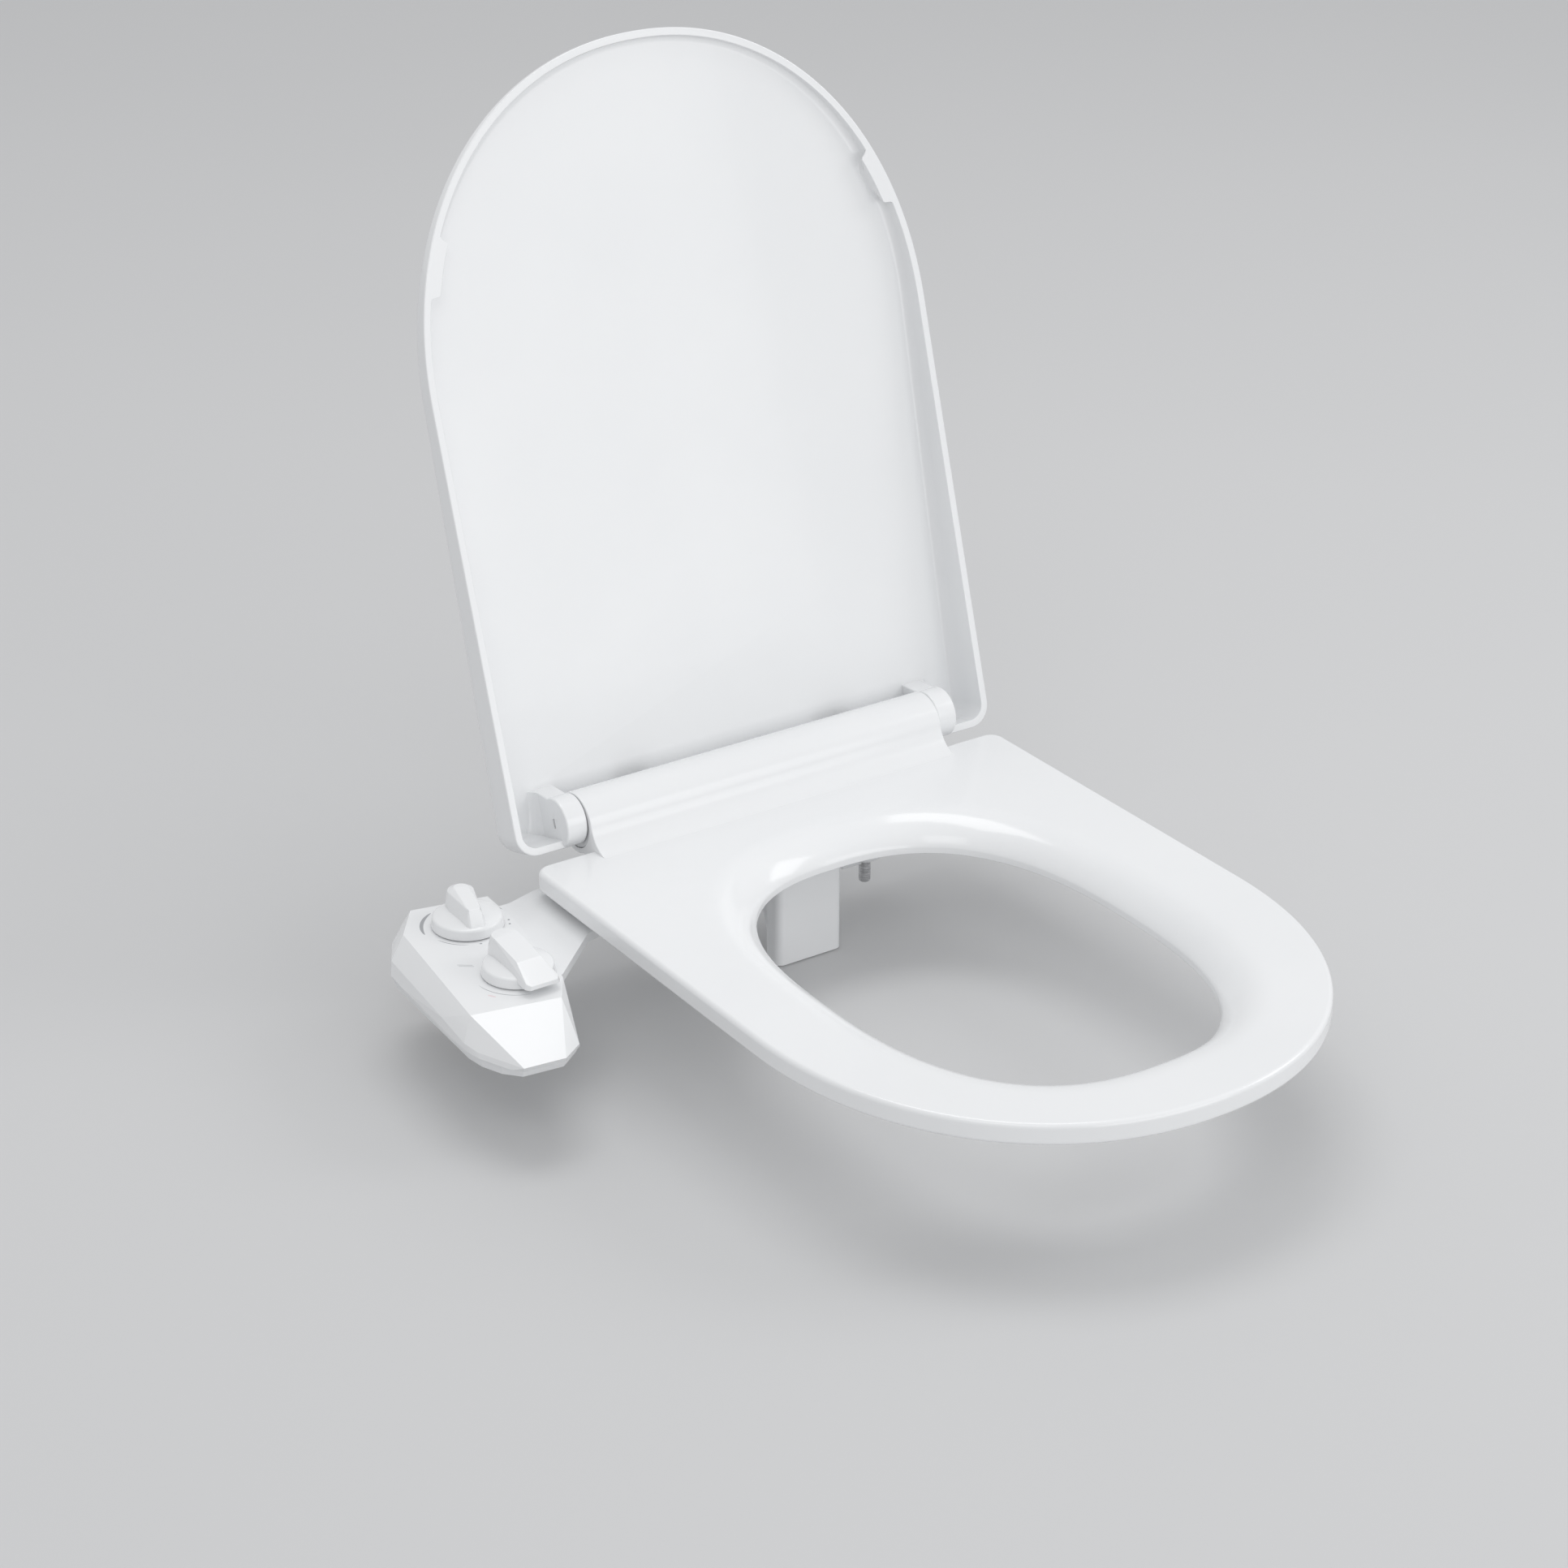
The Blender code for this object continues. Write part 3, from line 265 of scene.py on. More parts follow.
# %% [markdown]
# ## The finishes
# Injection-moulded plastic is one colour all through, but its surface is never quite even: the gloss
# wanders where the melt flowed, hands leave faint smears, edges that are touched go slightly dull and a
# very fine ripple bends the reflections. One function makes that family, and the glossy white, satin
# white, grey and rubber are settings of it. The metals get turning marks instead.


# %% The family of moulded finishes
# how fine each pattern is, in features to a metre
FLOW_SCALE, SMEAR_SCALE, RIPPLE_SCALE, SPECK_SCALE, GRAIN_SCALE = 9.0, 24.0, 70.0, 640.0, 2300.0
SPECK_LEVEL, SPECK_SHARE, HOLLOW_SHADE_SHARE = 0.69, 0.10, 0.16
RIDGE, HOLLOW = 0.515, 0.488  # where Pointiness leaves a flat face's 0.5
# one grey for specks of dust, which also paints shade into hollows and creases
DUST_AND_HOLLOW_SHADE = tone(0.42, 0.42, 0.41)
PLASTIC_IOR, COAT_ROUGHNESS = 1.49, 0.05


def moulded(name, light, dark, gloss, spread, ripple, coat=0.0, grain=0.0, marks=None):
    """A moulded plastic or rubber: colours, roughness with its spread, and depth of ripple and grain."""
    material, tree, place = blank_material(name)
    edge = tree.node("ShaderNodeNewGeometry", None, None, "Pointiness")
    flow = tree.noise(place, FLOW_SCALE, 3.0)
    wiped = tree.node("ShaderNodeMapping", None, {"Vector": place, "Scale": (1, 3, 1)})
    smear = tree.noise(wiped, SMEAR_SCALE, 4.0, 0.62)
    speck = ((tree.noise(place, SPECK_SCALE, 2.0, 0.7) - SPECK_LEVEL) * 7).clamped()
    worn = ((edge - RIDGE) * 9).clamped()
    # painted shade: where Pointiness finds a hollow or crease, the colour is darkened towards grey
    hollow = ((HOLLOW - edge) * 8).clamped()
    base = tree.mix(((flow - 0.3) * 2).clamped(), light, dark)
    # real dust specks and painted shade in the hollows, both mixed towards the same grey
    base = tree.mix(speck * SPECK_SHARE + hollow * HOLLOW_SHADE_SHARE, base, DUST_AND_HOLLOW_SHADE)
    if marks:
        for mask, ink in marks(tree, place):
            base = tree.mix(mask, base, ink)
    rough = (smear - 0.5) * spread + gloss + speck * 0.12 + worn * 0.08
    height = tree.noise(place, RIPPLE_SCALE, 1.0) * ripple + tree.noise(place, GRAIN_SCALE, 2.0) * grain
    bump = tree.node("ShaderNodeBump", None, {"Height": height, "Distance": 1.0, "Strength": 1.0})
    inputs = {
        "Base Color": base, "Roughness": rough, "Normal": bump, "IOR": PLASTIC_IOR,
        "Coat Weight": coat, "Coat Roughness": COAT_ROUGHNESS,
    }
    shade = tree.node("ShaderNodeBsdfPrincipled", None, inputs)
    tree.node("ShaderNodeOutputMaterial", None, {"Surface": shade})
    return material


print("the finest moulded grain is", round(1000 / GRAIN_SCALE, 2), "mm across")

# %% Moulded finishes
CLEAN_WHITE, DULL_WHITE = tone(0.86, 0.868, 0.876), tone(0.835, 0.845, 0.855)
gloss_white = moulded("gloss_white", CLEAN_WHITE, DULL_WHITE, 0.17, 0.10, 0.00005, coat=0.25)
satin_white = moulded(
    "satin_white", tone(0.80, 0.81, 0.82), tone(0.765, 0.775, 0.785), 0.42, 0.12, 0.00004, grain=0.000008)
damper_grey = moulded(
    "damper_grey", tone(0.20, 0.205, 0.215), tone(0.165, 0.17, 0.18), 0.46, 0.14, 0.00004, grain=0.00001)
soft_rubber = moulded(
    "soft_rubber", tone(0.50, 0.50, 0.49), tone(0.43, 0.43, 0.42), 0.68, 0.16, 0.00006, grain=0.00002)
milky_tube = moulded("milky_tube", tone(0.60, 0.66, 0.70), tone(0.53, 0.60, 0.65), 0.30, 0.10, 0.00003)
mouldings = (gloss_white, satin_white, damper_grey, soft_rubber, milky_tube)
print("moulded finishes:", [finish.name for finish in mouldings])


# %% [markdown]
# ## Printed marks on the panel
# Around the pressure knob the panel has a crescent that swells in the middle, two thin arcs and a few
# dots, and the selector knob has a thin arc in front of it. They are ink, not relief, so they belong to
# the panel's material. Each arc is a formula on the distance and the angle from its knob's axis. The
# small words on the real panel are left out.

# %% Arcs and bars as masks
INK_EDGE = 4000  # masks per metre: ink fades over a quarter of a millimetre


def from_centre(tree, place, centre, degrees):
    """Coordinates x and y from a centre, then along and across a direction."""
    split = tree.node("ShaderNodeSeparateXYZ", None, {0: place})
    x, y = split - centre[0], Wire(tree, split.socket.node.outputs[1]) - centre[1]
    cos, sin = math.cos(math.radians(degrees)), math.sin(math.radians(degrees))
    return x, y, x * cos + y * sin, y * cos - x * sin


def arc_mask(tree, place, centre, middle, half_span, radius, width, taper=0.5):
    """1 inside an arc about centre: middle and half_span in degrees, widest at its middle."""
    x, y, along, across = from_centre(tree, place, centre, middle)
    share = abs(across.math("ARCTAN2", across, along)) / math.radians(half_span)
    breadth = (1 - share * share).most(0) ** taper * (width / 2)
    away = abs((x * x + y * y) ** 0.5 - radius)
    return ((breadth - away) * INK_EDGE).clamped()


def bar_mask(tree, place, centre, direction, length, width):
    """1 inside a short bar about centre that points in a direction, in degrees."""
    _, _, along, across = from_centre(tree, place, centre, direction)
    return ((length / 2 - abs(along)).least(width / 2 - abs(across)) * INK_EDGE).clamped()


print("ink fades over", 1000 / INK_EDGE, "mm")


# %% The panel's marks
def knob_centre(name):
    return joints[name]["pos_m"][0], joints[name]["pos_m"][1]


def panel_marks(tree, place):
    """(mask, ink) pairs: graduation marks about both knobs, all of them plain shapes."""
    grey, pink = tone(0.22, 0.23, 0.25), tone(0.80, 0.52, 0.56)
    pressure, selector = knob_centre("pressure_turn"), knob_centre("selector_turn")
    # centre, middle and half span in degrees, radius and width in millimetres, taper
    arcs = [
        (pressure, 143, 30, 28.3, 2.6, 0.5),
        (pressure, 218, 24, 25.6, 0.9, 0.4),
        (pressure, 22, 17, 28.8, 0.9, 0.4),
    ]
    arcs += [(pressure, angle, 2.0, 25.6, 1.7, 0.5) for angle in (-102, -30, -18)]
    arcs += [(selector, -142, 38, 27.6, 0.8, 0.4)]
    masks = [arc_mask(tree, place, c, a, h, r * MM, w * MM, t) for c, a, h, r, w, t in arcs]
    masks = [(mask * 0.75, grey) for mask in masks]
    for shift in (-1, 1):
        spot = (selector[0] - 22 * MM, selector[1] + 25 * MM + shift * 0.9 * MM)
        masks.append((bar_mask(tree, place, spot, -36, 9.5 * MM, 1.0 * MM) * 0.42, grey))
    masks.append((arc_mask(tree, place, selector, -150, 5, 32 * MM, 1.8 * MM, 0.3) * 0.45, pink))
    return masks


printed_white = moulded(
    "printed_white", CLEAN_WHITE, DULL_WHITE, 0.19, 0.10, 0.00005, coat=0.25, marks=panel_marks)
print("printed_white has", sum(n.type == "MATH" for n in printed_white.node_tree.nodes), "math nodes")


# %% Metals
def turned(name, light, dark, gloss):
    """A turned metal: fine rings across Z break up its gloss."""
    material, tree, place = blank_material(name)
    flattened = tree.node("ShaderNodeMapping", None, {"Vector": place, "Scale": (60, 60, 2600)})
    rings = tree.noise(flattened, 1.0, 3.0)
    stain = tree.noise(place, 60.0, 4.0, 0.6)
    inputs = {
        "Base Color": tree.mix(((stain - 0.35) * 2).clamped(), light, dark),
        "Metallic": 1.0,
        "Roughness": rings * 0.16 + (stain - 0.5) * 0.2 + gloss,
        "Normal": tree.node("ShaderNodeBump", None, {
            "Height": rings * 0.00002, "Distance": 1.0, "Strength": 1.0,
        }),
    }
    shade = tree.node("ShaderNodeBsdfPrincipled", None, inputs)
    tree.node("ShaderNodeOutputMaterial", None, {"Surface": shade})
    return material


bolt_steel = turned("bolt_steel", tone(0.62, 0.62, 0.63), tone(0.50, 0.50, 0.52), 0.22)
valve_brass = turned("valve_brass", tone(0.78, 0.60, 0.30), tone(0.62, 0.45, 0.20), 0.20)
finish_of = {
    "white_plastic": gloss_white, "soft_white_plastic": satin_white, "grey_plastic": damper_grey,
    "rubber": soft_rubber, "steel": bolt_steel, "brass": valve_brass, "clear_tube": milky_tube,
}
print("finishes for", sorted(finish_of))

# %% [markdown]
# ## Helpers for the meshes
# Every finished piece has its object at the origin and its place in its mesh, as the frame's own nodes
# have. Modifiers are applied as soon as they have done their work, so what is left is a plain mesh.
# Smooth shading is broken where two faces meet at more than a set angle.

# %% Plain meshes
shown = []


def baked(obj):
    """The object with its modifiers worked into a plain mesh."""
    bpy.context.view_layer.update()
    graph = bpy.context.evaluated_depsgraph_get()
    mesh = bpy.data.meshes.new_from_object(obj.evaluated_get(graph))
    old = obj.data
    obj.modifiers.clear()
    obj.data = mesh
    if old.users == 0:
        bpy.data.meshes.remove(old)
    return obj


def object_from(name, bm):
    mesh = bpy.data.meshes.new(name)
    bm.to_mesh(mesh)
    bm.free()
    obj = bpy.data.objects.new(name, mesh)
    bpy.context.scene.collection.objects.link(obj)
    return obj


print("modifiers are baked at once")


# %% Cutting, joining and rounding
def combined(target, other, operation):
    """Cuts or joins another object, then removes it."""
    modifier = target.modifiers.new("boolean", "BOOLEAN")
    modifier.operation, modifier.solver, modifier.object = operation, "EXACT", other
    baked(target)
    bpy.data.objects.remove(other)


def rounded(obj, width, limit=30, segments=3):
    """Rounds the edges that turn by more than limit degrees."""
    bevel = obj.modifiers.new("edges", "BEVEL")
    bevel.width, bevel.segments, bevel.limit_method = width, segments, "ANGLE"
    bevel.angle_limit = math.radians(limit)
    bevel.miter_outer = "MITER_ARC"
    baked(obj)


print("Booleans are exact, and bevels stop at an angle")


# %% Finishing a piece
def finished(obj, node, finish=None, smooth=35, slot="white_plastic", stands_for=True):
    """Shades and paints a piece, rides it on its body and lets it stand for its node."""
    mesh = obj.data
    mesh.polygons.foreach_set("use_smooth", [True] * len(mesh.polygons))
    mesh.set_sharp_from_angle(angle=math.radians(smooth))
    weighted = obj.modifiers.new("flat_faces_first", "WEIGHTED_NORMAL")
    weighted.weight, weighted.keep_sharp = 90, True  # large flat faces lead
    mesh = baked(obj).data
    mesh.materials.clear()
    mesh.materials.append(finish or finish_of[slot])
    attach(obj, body_of[node])
    if stands_for:
        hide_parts(node)
    shown.append(obj)
    print(f"{obj.name}: {len(mesh.polygons)} faces")


print("a finished piece is shaded, painted, and rides on its body")


# %% Lofts and prisms
def loft(loops, closed):
    """Faces between loops of equal length. A closed loft joins its last loop to its first."""
    bm = bmesh.new()
    rows = [[bm.verts.new(point) for point in loop] for loop in loops]
    count = len(loops[0])
    pairs = list(zip(rows, rows[1:])) + ([(rows[-1], rows[0])] if closed else [])
    for first, second in pairs:
        for i in range(count):
            j = (i + 1) % count
            bm.faces.new((first[i], first[j], second[j], second[i]))
    if not closed:
        bm.faces.new(rows[0][::-1])
        bm.faces.new(rows[-1])
    bmesh.ops.recalc_face_normals(bm, faces=bm.faces)
    return bm


def prism_along_x(outline, low, high):
    """A solid with a (y, z) outline between two places along X."""
    return loft([[(x, y, z) for y, z in outline] for x in (low, high)], False)


def block(low, high):
    (x0, y0, z0), (x1, y1, z1) = low, high
    return prism_along_x([(y0, z0), (y1, z0), (y1, z1), (y0, z1)], x0, x1)


print("lofts and prisms are closed solids")


# %% Circles, lathes and arcs
def circle(centre, radius, sides):
    steps = [math.tau * i / sides for i in range(sides)]
    return [(centre[0] + radius * math.cos(a), centre[1] + radius * math.sin(a)) for a in steps]


def lathe(profile, sides):
    """(radius, z) points turned about Z. The first and last lie on the axis."""
    bm = bmesh.new()
    first, *middle, last = profile
    top, bottom = bm.verts.new((0, 0, first[1])), bm.verts.new((0, 0, last[1]))
    rows = [[bm.verts.new((x, y, z)) for x, y in circle((0, 0), r, sides)] for r, z in middle]
    for i in range(sides):
        j = (i + 1) % sides
        bm.faces.new((top, rows[0][i], rows[0][j]))
        bm.faces.new((bottom, rows[-1][j], rows[-1][i]))
        for upper, lower in zip(rows, rows[1:]):
            bm.faces.new((upper[i], lower[i], lower[j], upper[j]))
    bmesh.ops.recalc_face_normals(bm, faces=bm.faces)
    return bm


def arc_steps(count, first=0.0, last=90.0):
    """(cosine, sine) at even steps between two angles in degrees."""
    turns = [math.radians(first + (last - first) * i / count) for i in range(count + 1)]
    return [(math.cos(turn), math.sin(turn)) for turn in turns]


print("loft, prism and lathe are ready")

# %% [markdown]
# ## The outline that the seat and the lid share
# Both pieces have the same plan: a straight back edge with round corners, long sides that open a
# little, and a front that is a superellipse, a shade squarer than an ellipse. The plan is sampled
# finely once, with the outward direction at each point, and every loop of a loft is that plan moved
# in or out. The hole is a squarer superellipse.

# %% The plan
SEAT_TAPER, SEAT_FRONT, FRONT_POWER = 4 * MM, 200 * MM, 2.12
SEAT_CORNER, SEAT_REAR = 10 * MM, 20.5 * MM
HOLE_HALF, HOLE_POWER, FRONT_RIM, HOLE_REAR = 110.5 * MM, 2.56, 65 * MM, 92.5 * MM
HOLE_REACH = (SEAT_LENGTH - FRONT_RIM - HOLE_REAR) / 2
HOLE_CENTRE = SEAT_LENGTH - FRONT_RIM - HOLE_REACH
BACK_STEPS, CORNER_STEPS, SIDE_STEPS = 40, 16, 70


def plan(half, rear_half, back, tip, corner, front_steps):
    """(x, forward, outward x, outward forward) all round, from the middle of the back edge."""
    start = tip - SEAT_FRONT
    flat, square = rear_half - corner, back + corner  # where the round corner starts and ends
    right = [(flat * i / BACK_STEPS, back) for i in range(BACK_STEPS)]
    right += [(flat + corner * s, square - corner * c) for c, s in arc_steps(CORNER_STEPS)]
    for i in range(1, SIDE_STEPS):
        share = i / SIDE_STEPS
        right.append((rear_half + (half - rear_half) * share, square + (start - back - corner) * share))
    power = 2 / FRONT_POWER
    for c, s in arc_steps(front_steps):
        right.append((half * max(c, 0) ** power, start + SEAT_FRONT * s**power))
    right[-1] = (0, tip)  # on the middle line exactly
    ring = right + [(-x, forward) for x, forward in right[-2:0:-1]]
    rows = []
    for i, (x, forward) in enumerate(ring):
        before, after = ring[i - 1], ring[(i + 1) % len(ring)]
        dx, df = after[0] - before[0], after[1] - before[1]
        size = math.hypot(dx, df)
        rows.append((x, forward, df / size, -dx / size))
    return rows


def moved(rows, grow):
    return [(x + grow * nx, forward + grow * nf) for x, forward, nx, nf in rows]


print("the hole is", round(2000 * HOLE_HALF), "by", round(2000 * HOLE_REACH), "mm")


# %% The hole's edge
def hole_edge(rows, grow):
    """The hole's edge, in the direction of each point of the plan."""
    points = []
    for x, forward, _, _ in rows:
        turn = math.atan2(forward - HOLE_CENTRE, x)
        a, b = HOLE_HALF + grow, HOLE_REACH + grow
        share = abs(math.cos(turn) / a) ** HOLE_POWER + abs(math.sin(turn) / b) ** HOLE_POWER
        reach = share ** (-1 / HOLE_POWER)
        points.append((reach * math.cos(turn), HOLE_CENTRE + reach * math.sin(turn)))
    return points


seat_plan = plan(SEAT_HALF, SEAT_HALF - SEAT_TAPER / 2, SEAT_REAR, SEAT_LENGTH, SEAT_CORNER, 170)
print("the seat's plan has", len(seat_plan), "points")

# %% [markdown]
# ## The seat ring
# The real ring is one moulding: a flat top, a soft outer edge, and a dished slope down to a thin lip
# round the hole. Its section hardly changes, so it is a closed loft of loops round the ring. The
# barrel is a prism along the hinge with a hollow curve down to the seat, joined on with a Boolean.
# Then the bores for the dampers and the slots for the hinge posts are cut.

# %% Ring section
SEAT_TOP, SEAT_UNDER, SEAT_LIP, LIP_SLOPE = 25.4 * MM, 12 * MM, 4 * MM, 28 * MM
LIP_FACE = 4 * MM  # the upright edge of the lip
LIP_ROUND, SLOPE_STEPS = 0.9 * MM, 18
SLOPE_RISE, SLOPE_SPREAD = 1.1, 1.5  # powers that shape the dished slope
TOP_EDGE, UNDER_EDGE = (3 * MM, 3.1 * MM), (2.2 * MM, 2.4 * MM)  # rounding, in and down


def seat_loop(points, height):
    return [(x, hinge.y - forward, height) for x, forward in points]


def ring_loops():
    """From the lip up the slope, over the top, round the outer edge and back underneath."""
    loops = [seat_loop(hole_edge(seat_plan, LIP_ROUND), SEAT_LIP)]
    for c, s in arc_steps(3, 30):
        loops.append(seat_loop(hole_edge(seat_plan, LIP_ROUND * (1 - s)), SEAT_LIP + LIP_ROUND * (1 - c)))
    rise = SEAT_TOP - SEAT_LIP - LIP_FACE
    for i in range(SLOPE_STEPS + 1):
        share = i / SLOPE_STEPS
        height = SEAT_LIP + LIP_FACE + rise * math.sin(math.pi / 2 * share) ** SLOPE_RISE
        loops.append(seat_loop(hole_edge(seat_plan, LIP_SLOPE * share**SLOPE_SPREAD), height))
    loops.append(seat_loop(hole_edge(seat_plan, LIP_SLOPE + 1.5 * MM), SEAT_TOP))
    loops.append(seat_loop(moved(seat_plan, -4.5 * MM), SEAT_TOP))
    for c, s in arc_steps(8):
        height = SEAT_TOP - TOP_EDGE[1] * (1 - c)
        loops.append(seat_loop(moved(seat_plan, -TOP_EDGE[0] * (1 - s)), height))
    for c, s in arc_steps(6):
        height = SEAT_UNDER + UNDER_EDGE[1] * (1 - s)
        loops.append(seat_loop(moved(seat_plan, -UNDER_EDGE[0] * (1 - c)), height))
    loops.append(seat_loop(hole_edge(seat_plan, 14 * MM), SEAT_UNDER))
    loops.append(seat_loop(hole_edge(seat_plan, 4 * MM), SEAT_LIP + 1 * MM))
    return loops


seat = object_from("seat_moulding", loft(ring_loops(), True))
print("ring loft:", len(seat.data.vertices), "points")

# %% Barrel, bores and post slots
BARREL_FILLET, BARREL_BORE = 20 * MM, 16.5 * MM
POST_MIDDLE, POST_SLOT = 77.5 * MM, 11.5 * MM
POST_SWEEP = (-134, 48)  # the slot's sides about the hinge, in degrees, so the ring can swing up
CENTRE_WEB = 14 * MM


def about_hinge(points):
    return [(hinge.y + y, hinge.z + z) for y, z in points]


def barrel_outline():
    top = SEAT_TOP - 0.4 * MM - hinge.z
    rise = top + BARREL_FILLET
    reach = math.sqrt((BARREL_RADIUS + BARREL_FILLET) ** 2 - rise**2)
    tangent = math.degrees(math.atan2(rise, -reach))
    floor = SEAT_UNDER + 1 * MM - hinge.z
    points = [(-reach - 8 * MM, floor), (-reach - 8 * MM, top)]
    for c, s in arc_steps(20, -90, tangent - 180):
        points.append((-reach + BARREL_FILLET * c, rise + BARREL_FILLET * s))
    points += [(BARREL_RADIUS * c, BARREL_RADIUS * s) for c, s in arc_steps(60, tangent, -120)][1:]
    return about_hinge(points + [(-SEAT_REAR, floor)])


barrel = object_from("barrel", prism_along_x(barrel_outline(), -BARREL_HALF, BARREL_HALF))
rounded(barrel, 0.6 * MM, 50)
combined(seat, barrel, "UNION")
for side in (-1, 1):
    low, high = sorted((side * CENTRE_WEB, side * (BARREL_HALF + 5 * MM)))
    bore = object_from("bore", prism_along_x(about_hinge(circle((0, 0), BARREL_BORE, 64)), low, high))
    combined(seat, bore, "DIFFERENCE")
    wide = 2 * BARREL_RADIUS
    wedge = [(0, 0)] + [(wide * c, wide * s) for c, s in arc_steps(8, *POST_SWEEP)]
    middle = side * POST_MIDDLE
    post_slot = prism_along_x(about_hinge(wedge), middle - POST_SLOT, middle + POST_SLOT)
    combined(seat, object_from("slot", post_slot), "DIFFERENCE")
finished(seat, "seat_ring", smooth=32)

# %% [markdown]
# ## The lid
# The lid is a shallow tray: its wall is deep at the hinge and thins to the tip, its rim is a narrow
# flat band, and inside a soft step leads to one flat panel. Near the front the rim widens on both
# sides into a thumb grip with abrupt little steps at its ends. It is lofted shut, where its shape is
# simple, then turned back about the hinge. Two lugs with a hood hold it at the barrel's ends.

# %% Lid sizes and plan
LID_OVERHANG, LID_TIP, LID_REAR, LID_CORNER = 3.8 * MM, 1.5 * MM, 12 * MM, 15 * MM
RIM_WIDTH, LID_SKIN, TIP_RECESS = 5.0 * MM, 3 * MM, 3 * MM
LID_RIM = SEAT_TOP + 2.5 * MM - hinge.z
CLEARANCE = 1.2 * MM  # between moving pieces
GRIP = (339 * MM, 376 * MM)  # from the hinge
GRIP_REACH, GRIP_STEP, GRIP_SLOPE = 6.2 * MM, 3 * MM, 13 * MM
WALL_SHARE = 0.55  # how much of the way up to the inner panel the wall is upright
WALL_LEAN, PANEL_ROUND, RIM_ROUND = 0.3 * MM, 4.5 * MM, (0.5 * MM, 0.7 * MM)
RIM_OUTSIDE = 0.8 * MM
BACK_ROUND, BACK_POWER, BACK_SHARE = 11 * MM, 2.9, 0.6  # the outside's large soft edge
lid_half = SEAT_HALF + LID_OVERHANG
lid_plan = plan(lid_half, lid_half - SEAT_TAPER / 2, -LID_REAR, SEAT_LENGTH + LID_TIP, LID_CORNER, 230)


print("the lid is", round(2000 * lid_half, 1), "mm wide, with", len(lid_plan), "points in its plan")


# %% One loop of the lid
def lid_ceiling(forward):
    """Height of the inner panel over the hinge axis."""
    rear, tip = BARREL_RADIUS + CLEARANCE, LID_RIM + TIP_RECESS
    return rear + (tip - rear) * forward / (SEAT_LENGTH + LID_TIP)


def smooth_step(value):
    value = min(max(value, 0), 1)
    return value * value * (3 - 2 * value)


def grip_share(forward, step):
    """1 along a grip. Its ends are steps at the rim and long slopes further down."""
    low, high = (forward - GRIP[0]) / step, (GRIP[1] - forward) / step
    return smooth_step(low) * smooth_step(high)


def lid_loop(grow, share, lift=0.0, skin=0.0, grip=0.0):
    """The plan moved out by grow, a share of the way from the rim to the inner panel."""
    loop = []
    step = GRIP_STEP + (GRIP_SLOPE - GRIP_STEP) * min(share * 1.6, 1)
    for (x, forward, nx, nf), (px, pf) in zip(lid_plan, moved(lid_plan, grow)):
        inward = -GRIP_REACH * grip * grip_share(forward, step)
        px, pf = px + nx * inward, pf + nf * inward
        height = LID_RIM + share * (lid_ceiling(pf) + skin - LID_RIM) + lift
        loop.append((px, -pf, height))
    return loop


print("the lid's inside is", round(1000 * (lid_ceiling(0) - LID_RIM), 1), "mm deep at the hinge")


# %% The lid's loft
def lid_loops():
    """From the inner panel down the wall, over the rim and up the outside to the back."""
    foot = -RIM_WIDTH - WALL_LEAN
    loops = [lid_loop(-RIM_WIDTH - 5.4 * MM, 1.0, grip=0.5)]
    for c, s in arc_steps(9):
        share = WALL_SHARE + (1 - WALL_SHARE) * c
        loops.append(lid_loop(foot - PANEL_ROUND * (1 - s), share, grip=0.5 + 0.5 * s))
    for i in range(1, 6):
        share = WALL_SHARE * (1 - i / 6)
        loops.append(lid_loop(foot + WALL_LEAN * i / 6, share, RIM_ROUND[1] * i / 6, grip=1))
    for c, s in arc_steps(3):
        loops.append(lid_loop(-RIM_WIDTH + RIM_ROUND[0] * (1 - c), 0, RIM_ROUND[1] * (1 - s), grip=1))
    for c, s in arc_steps(4):
        loops.append(lid_loop(-RIM_OUTSIDE * (1 - s), 0, RIM_OUTSIDE * (1 - c)))
    power = 2 / BACK_POWER
    for c, s in arc_steps(14):
        c, s = max(c, 0) ** power, s**power
        share = 1 - BACK_SHARE + BACK_SHARE * s
        loops.append(lid_loop(-BACK_ROUND * (1 - c), share, skin=LID_SKIN))
    return loops


lid = object_from("lid_moulding", loft(lid_loops(), False))
print("lid loft:", len(lid.data.vertices), "points")

# %% Rear cut-out
LUG_LENGTH, LUG_RADIUS, LUG_CENTRE = 14.5 * MM, 16.5 * MM, (-3.3 * MM, -1.1 * MM)
LUG_GAP, LUG_EDGE, LUG_BORE = 0.6 * MM, 1.1 * MM, 5.3 * MM
HOOD_FILLET = 9 * MM  # the hollow curve from a lug's outer face to the panel
HOOD_ROOT, HOOD_LIP, HOOD_DROP = 1.4 * MM, 0.3 * MM, 1.2 * MM
KEY_SLOT, KEY_DEPTH = (6.4 * MM, 2.4 * MM), 2.4 * MM
lug_start = BARREL_HALF + LUG_GAP
lug_end = lug_start + LUG_LENGTH
wide = lug_end - 1 * MM
clearing = block((-wide, -2 * MM, -60 * MM), (wide, 60 * MM, BARREL_RADIUS + CLEARANCE / 2))
combined(lid, object_from("clearing", clearing), "DIFFERENCE")


print("each lug runs from", round(1000 * lug_start, 1), "to", round(1000 * lug_end, 1), "mm")


# %% Lug and fillet
def lug_prism(side, roof):
    """A lug: round below, and a straight hood up into the panel."""
    low, high = sorted((side * lug_start, side * lug_end))
    y, z = LUG_CENTRE
    outline = [(LID_REAR - 3 * MM, roof), (y - LUG_RADIUS - 4 * MM, roof)]
    outline += [(y + LUG_RADIUS * c, z + LUG_RADIUS * s) for c, s in arc_steps(44, 165, 395)]
    return prism_along_x(outline, low, high)


